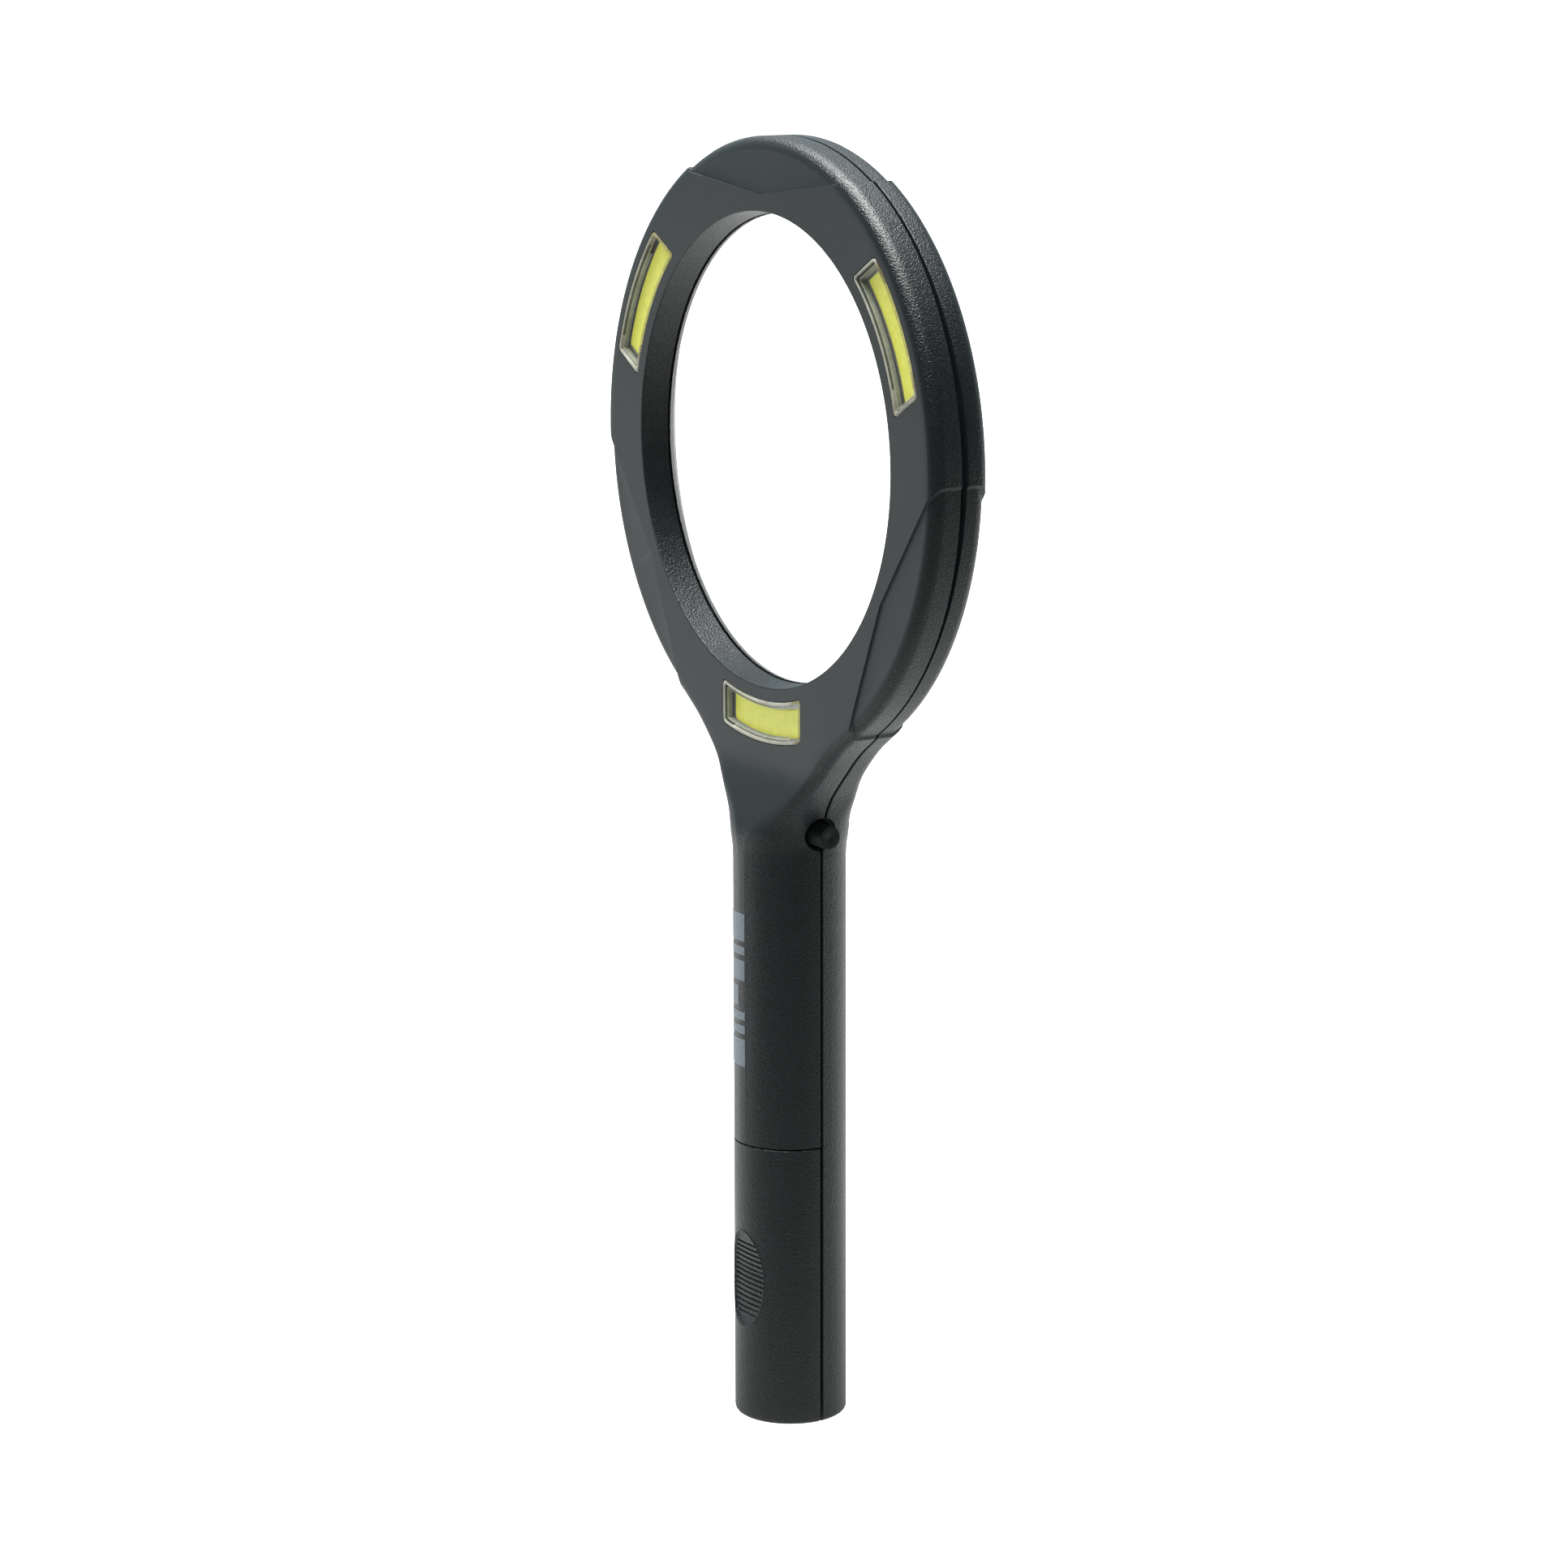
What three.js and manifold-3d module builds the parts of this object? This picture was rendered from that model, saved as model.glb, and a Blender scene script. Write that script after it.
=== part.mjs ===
// Low vision magnifier: a hand-held ring lens with three lit windows and a round battery handle.
// Millimetres. X across the ring (the button is on +X), the front faces -Y, Z runs up the handle.
// The origin is the middle of the handle's lower end.
import * as THREE from "three";
import { mergeVertices } from "three/addons/utils/BufferGeometryUtils.js";
import Module from "manifold-3d";

const wasm = await Module();
wasm.setup();

// ---- driving dimensions ----
const RING_Z = 190; // height of the lens axis
const RING_R = 59.4; // outer radius of the ring
const FRONT_Y = -6.3; // flat front face
const REAR_Y = 6; // flat rear face
const PARTING_Y = 0.45; // the two shells meet here
const EDGE_ROUND = 2.6; // rounding of the ring's outer edges
const HANDLE_R = 10.72;
const NECK_R = 30; // concave radius between the ring and the handle
const SHOULDER_Z = 113.5; // the handle starts to blend into the neck
const SHOULDER_TOP = 128.4;
const GAP = 0.3; // running gap between neighbouring pieces
const WALL = 2; // wall thickness of the shells
const FACE_WALL = 1.6;

// lens and its seat
const FRONT_OPENING_R = 45;
const SEAT_R = 44.6; // front lip over the lens edge
const CLEAR_R = 44.4; // clear aperture, 3.5 inches across
const CLEAR_Y = 0.6; // narrowest place of the rear opening
const FLARE_R = 52; // the rear opening flares to this radius
const FRONT_LIP_Y = -0.6;
const REAR_LIP_Y = 0.4;
const GROOVE_R = 46.5;
const INNER_WALL_R = 47.3;
const LENS_R = 46.2;
const DOME_R = 44.2; // the domes start here; outside is a flat flange
const LENS_EDGE = 0.7;
const LENS_SAG = 3.4; // height of each dome above the lens edge

// recessed panels between the lights
const PANEL_ANGLES = [90, 210, 330];
const PANEL_CORNER_R = 48.06;
const PANEL_SLOPE = 0.117;
const PANEL_FACE_STEP = 0.4;
const PANEL_EDGE_STEP = 0.85;

// lights
const LIGHTS = { upper_right: 30, upper_left: 150, lower: 270 };
const WINDOW_IN_R = 47.6;
const WINDOW_OUT_R = 55.7;
const WINDOW_HALF = 14;
const WINDOW_CORNER = 1;
const WINDOW_RIM = 1;
const WINDOW_PROUD = 0.12;
const WINDOW_FLOOR_Y = -5.2;
const WINDOW_BACK_Y = -4.75;
const STRIP_IN_R = 49.2;
const STRIP_OUT_R = 54.2;
const STRIP_HALF = 12;
const STRIP_THICK = 0.4;
const BOARD_FRONT_Y = -4.15;
const BOARD_THICK = 1;

// handle, battery bay and door
const BORE_R = 8.4;
const END_WALL = 1.8;
const DOOR_TOP = 55.4;
const PARTITION_Z = 107;
const PARTITION_THICK = 1.6;
const CRADLE_R = 7.5;
const CRADLE_THICK = 1.5;
const REAR_CRADLES = [14, 40, 70, 96];
const FRONT_CRADLES = [72, 98];
const DOOR_CRADLES = [16, 42];
const GRIP_Z = 29.2;
const GRIP_HALF_Z = 9.6;
const GRIP_HALF_X = 5.6;
const GRIP_DEPTH = 0.9;

// cells and contacts
const CELL_R = 7.25;
const CELL_LENGTH = 50.5;
const CELL_BASE_Z = 5.3;
const CONTACT_THICK = 0.35;
const STRAP_Y = 7.55;
const STRAP_HALF = 2;

// push switch
const BUTTON_Y = 0;
const BUTTON_Z = 117.4;
const BUTTON_R = 2.45;
const BUTTON_END_X = 14.7;
const BUTTON_INNER_X = 7.6;
const BUTTON_FLANGE = 0.8;
const BUTTON_HOLE_R = 2.75;
const BUTTON_SINK_R = 3.4;
const SWITCH_HALF = 2.8;
const SWITCH_X = [-2.5, 5.9];
const PLUNGER_R = 1.2;

// screws
const SCREW_R = 55; // distance of the ring screws from the lens axis
const SCREW_NECK_Z = 127;
const SCREW_HEAD_R = 2.2;
const SCREW_SHANK_R = 1.1;
const BOSS_R = 2.9;
const SCREW_SEAT_Y = 3.9;
const SCREW_TIP_Y = -2.8;

const RING_SEGMENTS = 64;
const ROUND_SEGMENTS = 36;
const SMALL_SEGMENTS = 12;
const FAR = 300; // reach of the half-space cutters

const rad = THREE.MathUtils.degToRad;

// ---- solids from three.js geometry, joined and cut by manifold-3d ----
function solid(geometry) {
  const bare = geometry.index ? geometry.toNonIndexed() : geometry.clone();
  bare.deleteAttribute("normal");
  bare.deleteAttribute("uv");
  const merged = mergeVertices(bare, 1e-4);
  const triVerts = new Uint32Array(merged.index.array);
  const vertProperties = merged.attributes.position.array;
  const made = new wasm.Manifold(new wasm.Mesh({ numProp: 3, vertProperties, triVerts }));
  if (made.volume() > 0) return made;
  triVerts.reverse();
  return new wasm.Manifold(new wasm.Mesh({ numProp: 3, vertProperties, triVerts }));
}

function join(...solids) {
  return solids.reduce((sum, next) => sum.add(next));
}

function cut(base, ...tools) {
  return tools.reduce((left, tool) => left.subtract(tool), base);
}

function points(list) {
  return list.map(([x, y]) => new THREE.Vector2(x, y));
}

// A block between two corners.
function block([x0, y0, z0], [x1, y1, z1]) {
  const box = new THREE.BoxGeometry(x1 - x0, y1 - y0, z1 - z0);
  return solid(box.translate((x0 + x1) / 2, (y0 + y1) / 2, (z0 + z1) / 2));
}

// A solid of revolution about the lens axis, from (radius, Y) points.
function aboutLensAxis(profile) {
  const ring = new THREE.LatheGeometry(points(profile), RING_SEGMENTS);
  return solid(ring.translate(0, 0, RING_Z));
}

// A solid of revolution about the handle's axis, from (radius, Z) points.
function aboutHandle(profile, segments = ROUND_SEGMENTS) {
  return solid(new THREE.LatheGeometry(points(profile), segments).rotateX(Math.PI / 2));
}

// A solid of revolution about a line along Y through (x, z), from (radius, Y) points.
function aboutY(profile, x, z) {
  return solid(new THREE.LatheGeometry(points(profile), SMALL_SEGMENTS).translate(x, 0, z));
}

// A solid of revolution about the button's axis, from (radius, X) points.
function aboutButton(profile, segments = ROUND_SEGMENTS / 2) {
  const lathe = new THREE.LatheGeometry(points(profile), segments);
  return solid(lathe.rotateZ(-Math.PI / 2).translate(0, BUTTON_Y, BUTTON_Z));
}

function cylinderProfile(r, low, high) {
  return [[0, low], [r, low], [r, high], [0, high]];
}

function tubeProfile(inner, outer, low, high) {
  return [[inner, low], [outer, low], [outer, high], [inner, high], [inner, low]];
}

// A shape in the XZ plane, extruded between two Y levels.
function plate(shape, yLow, yHigh, options = {}) {
  const depth = yHigh - yLow - 2 * (options.bevelThickness ?? 0);
  const made = new THREE.ExtrudeGeometry(shape, { bevelEnabled: false, depth, ...options });
  return solid(made.rotateX(Math.PI / 2).translate(0, yHigh - (options.bevelThickness ?? 0), 0));
}

// A shape drawn with its second axis pointing out from the lens axis, turned to an angle.
function radialPlate(shape, angle, yLow, yHigh) {
  const made = new THREE.ExtrudeGeometry(shape, {
    bevelEnabled: false,
    depth: yHigh - yLow,
    curveSegments: 5,
  });
  made.rotateZ(rad(angle - 90)).rotateX(Math.PI / 2);
  return solid(made.translate(0, yHigh, RING_Z));
}

// ---- outer form ----
const NECK_X = HANDLE_R + NECK_R;
const NECK_Z = RING_Z - Math.sqrt((RING_R + NECK_R) ** 2 - NECK_X ** 2);

// Points on an arc about (x, z), both ends included.
function arc(x, z, r, start, end, steps) {
  return Array.from({ length: steps + 1 }, (_, i) => {
    const angle = start + ((end - start) * i) / steps;
    return [x + r * Math.cos(angle), z + r * Math.sin(angle)];
  });
}

// Ring and neck outline, moved inwards by inset. It closes inside the handle at bottom.
function outline(inset, bottom) {
  const ringStart = Math.atan2(NECK_Z - RING_Z, NECK_X);
  const neck = arc(NECK_X, NECK_Z, NECK_R + inset, Math.PI, Math.PI + ringStart, 8);
  const ring = arc(0, RING_Z, RING_R - inset, ringStart, Math.PI - ringStart, 54);
  const right = [[HANDLE_R - inset, bottom], ...neck];
  const left = right.map(([x, z]) => [-x, z]).reverse();
  return new THREE.Shape(points([...right, ...ring.slice(1, -1), ...left]));
}

// Widening round envelope that rounds the neck's corners off towards the handle.
function flare(inset) {
  const r = HANDLE_R - inset;
  const steps = [[r, 100], [r, 111], [r + 0.5, 113], [r + 2.5, 119], [r + 6.5, 126]];
  return aboutHandle([[0, 100], ...steps, [r + 16, 134], [75, 150], [75, 260], [0, 260]]);
}

function handleBody() {
  const foot = 1.5;
  const shoulder = [[10.3, 116.4], [9.5, 119], [8.4, 121.8], [7.3, 124.8], [6.5, SHOULDER_TOP]];
  return aboutHandle([
    [0, 0],
    [HANDLE_R - foot, 0],
    [HANDLE_R - foot * 0.29, foot * 0.29],
    [HANDLE_R, foot],
    [HANDLE_R, SHOULDER_Z],
    ...shoulder,
    [0, SHOULDER_TOP],
  ]);
}

function panelShape() {
  const reach = 34;
  const high = PANEL_CORNER_R + reach * PANEL_SLOPE;
  return new THREE.Shape(
    points([[0, PANEL_CORNER_R], [reach, high], [reach, 70], [-reach, 70], [-reach, high]]),
  );
}

// What the recessed panels take off the two faces and the outer edge.
function panelCutter(angle) {
  const front = radialPlate(panelShape(), angle, FRONT_Y - 2, FRONT_Y + PANEL_FACE_STEP);
  const rear = radialPlate(panelShape(), angle, REAR_Y - PANEL_FACE_STEP, REAR_Y + 2);
  const through = radialPlate(panelShape(), angle, FRONT_Y - 2, REAR_Y + 2);
  const core = aboutLensAxis(cylinderProfile(RING_R - PANEL_EDGE_STEP, -12, 12));
  return join(front, rear, through.subtract(core));
}

function outerBody() {
  const rounding = {
    bevelEnabled: true,
    bevelThickness: EDGE_ROUND,
    bevelSize: EDGE_ROUND,
    bevelOffset: -EDGE_ROUND,
    bevelSegments: 1,
  };
  const ringAndNeck = plate(outline(0, 104), FRONT_Y, REAR_Y, rounding).intersect(flare(0));
  return cut(join(ringAndNeck, handleBody()), ...PANEL_ANGLES.map(panelCutter));
}

// ---- shells and door ----
const body = outerBody();
const frontSpace = block([-FAR, -FAR, -FAR], [FAR, PARTING_Y - GAP / 2, FAR]);
const rearSpace = block([-FAR, PARTING_Y + GAP / 2, -FAR], [FAR, FAR, FAR]);

function neckCavity(yLow, yHigh) {
  return plate(outline(WALL + 0.7, 112), yLow, yHigh).intersect(flare(WALL + 0.2));
}

function bores() {
  return join(
    aboutHandle(cylinderProfile(BORE_R, END_WALL, PARTITION_Z)),
    aboutHandle(cylinderProfile(BORE_R - 1.4, PARTITION_Z + PARTITION_THICK, 116)),
  );
}

function buttonHole() {
  return join(
    aboutButton(cylinderProfile(BUTTON_HOLE_R, 8.9, 20)),
    aboutButton(cylinderProfile(BUTTON_SINK_R, 5, 8.7)),
    aboutButton([[0, 8.5], [BUTTON_HOLE_R, 8.5], [BUTTON_HOLE_R, 10], [BUTTON_SINK_R, 10.7],
      [BUTTON_SINK_R, 20], [0, 20]]),
  );
}

function ringScrewPlaces() {
  const onRing = PANEL_ANGLES.map((angle) => [
    SCREW_R * Math.cos(rad(angle)),
    RING_Z + SCREW_R * Math.sin(rad(angle)),
  ]);
  return [...onRing, [0, SCREW_NECK_Z]];
}

// Half-round ribs that hold the cells in the middle of the bore.
function cradles(levels) {
  return levels.map((z) => aboutHandle(tubeProfile(CRADLE_R, BORE_R + 0.5, z, z + CRADLE_THICK)));
}

function sectorShape(inner, outer, half, corner) {
  const outerTurn = Math.asin(half / outer) - corner / outer;
  const innerTurn = Math.asin(half / inner) - corner / inner;
  const outerV = Math.sqrt(outer ** 2 - half ** 2);
  const innerV = Math.sqrt(inner ** 2 - half ** 2);
  const up = Math.PI / 2;
  const shape = new THREE.Shape();
  shape.moveTo(half, outerV - corner);
  shape.quadraticCurveTo(half, outerV, outer * Math.sin(outerTurn), outer * Math.cos(outerTurn));
  shape.absarc(0, 0, outer, up - outerTurn, up + outerTurn, false);
  shape.quadraticCurveTo(-half, outerV, -half, outerV - corner);
  shape.lineTo(-half, innerV + corner);
  shape.quadraticCurveTo(-half, innerV, -inner * Math.sin(innerTurn), inner * Math.cos(innerTurn));
  shape.absarc(0, 0, inner, up + innerTurn, up - innerTurn, true);
  shape.quadraticCurveTo(half, innerV, half, innerV + corner);
  shape.closePath();
  return shape;
}

function frontShell() {
  const opening = aboutLensAxis([
    [0, -12],
    [FRONT_OPENING_R + 0.8, -12],
    [FRONT_OPENING_R + 0.8, FRONT_Y],
    [FRONT_OPENING_R, FRONT_Y + 0.8],
    [SEAT_R, FRONT_LIP_Y],
    [GROOVE_R, FRONT_LIP_Y],
    [GROOVE_R, 2],
    [0, 2],
  ]);
  const innerWall = aboutLensAxis(cylinderProfile(INNER_WALL_R, -12, 12));
  const cavity = neckCavity(FRONT_Y + WALL, 2).subtract(innerWall);
  const windows = Object.values(LIGHTS).map((angle) => {
    const hole = sectorShape(WINDOW_IN_R - 0.15, WINDOW_OUT_R + 0.15, WINDOW_HALF + 0.15,
      WINDOW_CORNER);
    return radialPlate(hole, angle, FRONT_Y - 2, FRONT_Y + WALL + 0.5);
  });
  const half = body.intersect(frontSpace).intersect(block([-FAR, -FAR, DOOR_TOP + GAP],
    [FAR, FAR, FAR]));
  const bosses = ringScrewPlaces().map(([x, z]) =>
    aboutY(cylinderProfile(BOSS_R - 0.3, FRONT_Y + WALL - 0.3, PARTING_Y - GAP / 2), x, z));
  const pilots = ringScrewPlaces().map(([x, z]) =>
    aboutY(cylinderProfile(SCREW_SHANK_R + 0.15, SCREW_TIP_Y - 0.5, 2), x, z));
  const ribs = cradles(FRONT_CRADLES).map((rib) => rib.intersect(frontSpace));
  const hollow = cut(half, opening, cavity, bores());
  return cut(join(hollow, ...bosses, ...ribs), ...pilots, ...windows, buttonHole(), strapSlots());
}

function strapSlots() {
  return join(
    block([-STRAP_HALF - 0.4, STRAP_Y - 0.3, END_WALL + 0.1], [STRAP_HALF + 0.4, 8.3, 111]),
    block([-6.9, -1.4, PARTITION_Z - 1], [-5.1, 1.4, 111]),
  );
}

function rearShell() {
  const opening = aboutLensAxis([
    [0, -3],
    [CLEAR_R, -3],
    [CLEAR_R, CLEAR_Y],
    [FLARE_R, REAR_Y],
    [FLARE_R, 12],
    [0, 12],
  ]);
  const flareSlope = (FLARE_R - CLEAR_R) / (REAR_Y - CLEAR_Y);
  const flareCore = aboutLensAxis([
    [0, -3],
    [INNER_WALL_R, -3],
    [INNER_WALL_R, CLEAR_Y],
    [INNER_WALL_R + flareSlope * (REAR_Y - FACE_WALL), REAR_Y - FACE_WALL],
    [INNER_WALL_R + flareSlope * (REAR_Y - FACE_WALL), 12],
    [0, 12],
  ]);
  const lip = aboutLensAxis(tubeProfile(CLEAR_R - 2, GROOVE_R - GAP, REAR_LIP_Y, PARTING_Y + GAP));
  const cavity = neckCavity(-1, REAR_Y - FACE_WALL).subtract(flareCore);
  const half = cut(body.intersect(rearSpace), cavity, bores());
  const bosses = ringScrewPlaces().map(([x, z]) =>
    aboutY(cylinderProfile(BOSS_R, PARTING_Y + GAP / 2, REAR_Y - FACE_WALL + 0.3), x, z));
  const drills = ringScrewPlaces().map(([x, z]) =>
    join(
      aboutY(cylinderProfile(SCREW_SHANK_R + 0.25, -1, 12), x, z),
      aboutY(cylinderProfile(SCREW_HEAD_R + 0.25, SCREW_SEAT_Y - 0.3, 12), x, z),
    ));
  const ribs = cradles(REAR_CRADLES).map((rib) => rib.intersect(rearSpace));
  return cut(join(half, lip, ...bosses, ...ribs), opening, ...drills, buttonHole(), strapSlots());
}

// Oval scoop in the front of the door for the thumb.
function gripScoop() {
  const scoop = new THREE.SphereGeometry(1, 20, 12);
  scoop.scale(GRIP_HALF_X, GRIP_DEPTH * 2, GRIP_HALF_Z);
  return solid(scoop.translate(0, -HANDLE_R + 0.4, GRIP_Z));
}

function batteryDoor() {
  const half = body.intersect(frontSpace).intersect(block([-FAR, -FAR, -1], [FAR, FAR, DOOR_TOP]));
  const tongueSpace = block([-7, -12, 48], [7, -3, 62]);
  const tongue = join(
    aboutHandle(tubeProfile(BORE_R - 0.6, BORE_R + 0.4, 50, DOOR_TOP - 0.5)),
    aboutHandle(tubeProfile(BORE_R - 0.6, BORE_R - 0.2, 50, DOOR_TOP + 5)),
  ).intersect(tongueSpace);
  const ribs = cradles(DOOR_CRADLES).map((rib) => rib.intersect(frontSpace));
  const backing = aboutHandle(tubeProfile(CRADLE_R, HANDLE_R - 1, GRIP_Z - 11, GRIP_Z + 11))
    .intersect(block([-7, -12, 0], [7, -4, DOOR_TOP]));
  return cut(join(half.subtract(bores()), backing, tongue, ...ribs), gripScoop());
}

// ---- lens and lights ----
function lensSolid() {
  const edgeFront = FRONT_LIP_Y + 0.15;
  const edgeRear = edgeFront + LENS_EDGE;
  const curvature = (DOME_R ** 2 + LENS_SAG ** 2) / (2 * LENS_SAG);
  const steps = 5;
  const dome = Array.from({ length: steps + 1 }, (_, i) => {
    const r = (DOME_R * i) / steps;
    return [r, Math.sqrt(curvature ** 2 - r ** 2) - (curvature - LENS_SAG)];
  });
  dome.push([LENS_R, 0]);
  const front = dome.map(([r, rise]) => [r, edgeFront - rise]);
  const rear = dome.map(([r, rise]) => [r, edgeRear + rise]).reverse();
  return aboutLensAxis([...front, ...rear]);
}

function windowSolid(angle) {
  const rim = sectorShape(WINDOW_IN_R, WINDOW_OUT_R, WINDOW_HALF, WINDOW_CORNER);
  const well = sectorShape(WINDOW_IN_R + WINDOW_RIM, WINDOW_OUT_R - WINDOW_RIM,
    WINDOW_HALF - WINDOW_RIM, WINDOW_CORNER / 2);
  return radialPlate(rim, angle, FRONT_Y - WINDOW_PROUD, WINDOW_BACK_Y)
    .subtract(radialPlate(well, angle, FRONT_Y - 2, WINDOW_FLOOR_Y));
}

function stripSolid(angle) {
  const shape = sectorShape(STRIP_IN_R, STRIP_OUT_R, STRIP_HALF, 0.3);
  return radialPlate(shape, angle, BOARD_FRONT_Y - 0.05 - STRIP_THICK, BOARD_FRONT_Y - 0.05);
}

function ledBoardSolid(angle) {
  const shape = sectorShape(WINDOW_IN_R + 0.3, WINDOW_OUT_R - 0.3, WINDOW_HALF - 0.5, 0.3);
  return radialPlate(shape, angle, BOARD_FRONT_Y, BOARD_FRONT_Y + BOARD_THICK);
}

// ---- cells and contacts ----
function cell(base) {
  const nub = 1;
  const top = base + CELL_LENGTH - nub;
  return aboutHandle([[0, base], [6.2, base], [7, base + 0.3], [CELL_R, base + 0.8],
    [CELL_R, top - 0.8], [6.6, top - 0.1], [2.75, top], [2.75, top + nub], [0, top + nub]], 28);
}

class ConeCoil extends THREE.Curve {
  getPoint(t, target = new THREE.Vector3()) {
    const angle = 2 * Math.PI * 3 * t;
    const r = 5.4 - 2.9 * t;
    return target.set(r * Math.cos(angle), r * Math.sin(angle), 3.05 + 1.75 * t);
  }
}

function tube(path, radius, steps) {
  const section = new THREE.Shape();
  section.absarc(0, 0, radius, 0, 2 * Math.PI);
  const options = { steps, curveSegments: 3, extrudePath: path, bevelEnabled: false };
  return solid(new THREE.ExtrudeGeometry(section, options));
}

function negativeStrip() {
  const z0 = END_WALL + GAP;
  return join(
    aboutHandle(cylinderProfile(6.8, z0, z0 + CONTACT_THICK), 28),
    block([-STRAP_HALF, 4, z0], [STRAP_HALF, STRAP_Y + CONTACT_THICK, z0 + CONTACT_THICK]),
    block([-STRAP_HALF, STRAP_Y, z0], [STRAP_HALF, STRAP_Y + CONTACT_THICK, 110.2]),
  );
}

function positiveContact() {
  const z1 = PARTITION_Z - 0.1;
  return join(
    aboutHandle(cylinderProfile(4.5, z1 - CONTACT_THICK, z1), 28),
    block([-6.2, -1, z1 - CONTACT_THICK], [0, 1, z1]),
    block([-6.2, -1, z1 - CONTACT_THICK], [-5.8, 1, 110.2]),
  );
}

// ---- switch, board and wires ----
function buttonCap() {
  const edge = 0.35;
  return aboutButton([[0, BUTTON_INNER_X], [BUTTON_HOLE_R + 0.35, BUTTON_INNER_X],
    [BUTTON_HOLE_R + 0.35, BUTTON_INNER_X + BUTTON_FLANGE], [BUTTON_R, BUTTON_INNER_X + BUTTON_FLANGE],
    [BUTTON_R, BUTTON_END_X - edge], [BUTTON_R - edge, BUTTON_END_X], [0, BUTTON_END_X]]);
}

function switchBody() {
  const [x0, x1] = SWITCH_X;
  const half = SWITCH_HALF;
  return block([x0, BUTTON_Y - half, BUTTON_Z - half], [x1, BUTTON_Y + half, BUTTON_Z + half])
    .subtract(aboutButton(cylinderProfile(PLUNGER_R + 0.2, x1 - 3.4, x1 + 1), SMALL_SEGMENTS));
}

function switchPlunger() {
  return aboutButton(cylinderProfile(PLUNGER_R, SWITCH_X[1] - 1.6, BUTTON_INNER_X - 0.05),
    SMALL_SEGMENTS);
}

function driverBoard() {
  const y = BUTTON_Y + SWITCH_HALF + 0.1;
  return block([-5.6, y, 111.6], [5.6, y + 0.6, 124]);
}

function seriesResistor() {
  return block([-5.4, BUTTON_Y + 1.6, 121], [-2.2, BUTTON_Y + SWITCH_HALF, 122.6]);
}

// Lead from the driver board up the neck and round the ring channel to the last light.
function ledWire(radius, startX) {
  const y = -2.4;
  const route = [new THREE.Vector3(startX, y, 122.2), new THREE.Vector3(startX - 1, y, 128)];
  const first = 262 - (radius - 49.2) * 1.2;
  const last = 28;
  const stops = 24;
  for (let i = 0; i <= stops; i++) {
    const angle = rad(first + ((last - first) * i) / stops);
    route.push(new THREE.Vector3(radius * Math.cos(angle), y, RING_Z + radius * Math.sin(angle)));
  }
  return tube(new THREE.CatmullRomCurve3(route), 0.5, 44);
}

function lead(list) {
  return tube(new THREE.CatmullRomCurve3(list.map((p) => new THREE.Vector3(...p))), 0.5, 8);
}

function screw(x, z) {
  const tip = SCREW_TIP_Y;
  const seat = SCREW_SEAT_Y;
  const blank = aboutY([[0, tip], [0.5, tip + 0.2], [SCREW_SHANK_R, tip + 1.2],
    [SCREW_SHANK_R, seat], [SCREW_HEAD_R, seat], [SCREW_HEAD_R, seat + 0.9],
    [SCREW_HEAD_R - 0.5, seat + 1.3], [0, seat + 1.3]], x, z);
  const arm = 1.3;
  const slot = 0.3;
  return cut(blank, block([x - arm, seat + 0.5, z - slot], [x + arm, seat + 3, z + slot]),
    block([x - slot, seat + 0.5, z - arm], [x + slot, seat + 3, z + arm]));
}

// ---- materials and the named pieces ----
const looks = {
  shell: { color: 0x2c3234, roughness: 0.62 },
  lens: { color: 0xf2f6f5, roughness: 0.05, transparent: true, opacity: 0.25 },
  window: { color: 0xe6e4cf, roughness: 0.12, transparent: true, opacity: 0.35 },
  phosphor: { color: 0xd6de5a, roughness: 0.6 },
  aluminium: { color: 0xc9cccd, roughness: 0.45, metalness: 0.9 },
  board: { color: 0x1f5a38, roughness: 0.5 },
  button: { color: 0x1c2022, roughness: 0.45 },
  switch: { color: 0x151515, roughness: 0.5 },
  plunger: { color: 0xe8e6de, roughness: 0.5 },
  cell: { color: 0x3a4a63, roughness: 0.35 },
  spring: { color: 0xb9bcc0, roughness: 0.3, metalness: 1 },
  red_wire: { color: 0xa81f1c, roughness: 0.5 },
  black_wire: { color: 0x161616, roughness: 0.5 },
  screw: { color: 0x8a8d90, roughness: 0.35, metalness: 1 },
};

const magnifier = new THREE.Group();
magnifier.name = "magnifier";

function add(name, look, made) {
  const { vertProperties, triVerts } = made.getMesh();
  const geometry = new THREE.BufferGeometry();
  geometry.setAttribute("position", new THREE.BufferAttribute(vertProperties, 3));
  geometry.setIndex(new THREE.BufferAttribute(triVerts, 1));
  geometry.computeVertexNormals();
  const mesh = new THREE.Mesh(geometry, new THREE.MeshStandardMaterial(looks[look]));
  mesh.name = name;
  magnifier.add(mesh);
}

add("front_shell", "shell", frontShell());
add("rear_shell", "shell", rearShell());
add("battery_door", "shell", batteryDoor());
add("lens", "lens", lensSolid());
for (const [place, angle] of Object.entries(LIGHTS)) {
  add("window_" + place, "window", windowSolid(angle));
  add("led_strip_" + place, "phosphor", stripSolid(angle));
  add("led_board_" + place, "aluminium", ledBoardSolid(angle));
}
add("button_cap", "button", buttonCap());
add("switch_plunger", "plunger", switchPlunger());
add("switch_body", "switch", switchBody());
add("driver_board", "board", driverBoard());
add("series_resistor", "switch", seriesResistor());
add("battery_lower", "cell", cell(CELL_BASE_Z));
add("battery_upper", "cell", cell(CELL_BASE_Z + CELL_LENGTH + 0.1));
add("negative_spring", "spring", tube(new ConeCoil(), 0.35, 40));
add("negative_strip", "spring", negativeStrip());
add("positive_contact", "spring", positiveContact());
add("led_wire_red", "red_wire", ledWire(49.2, -3.4));
add("led_wire_black", "black_wire", ledWire(50.7, -4.9));
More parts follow.
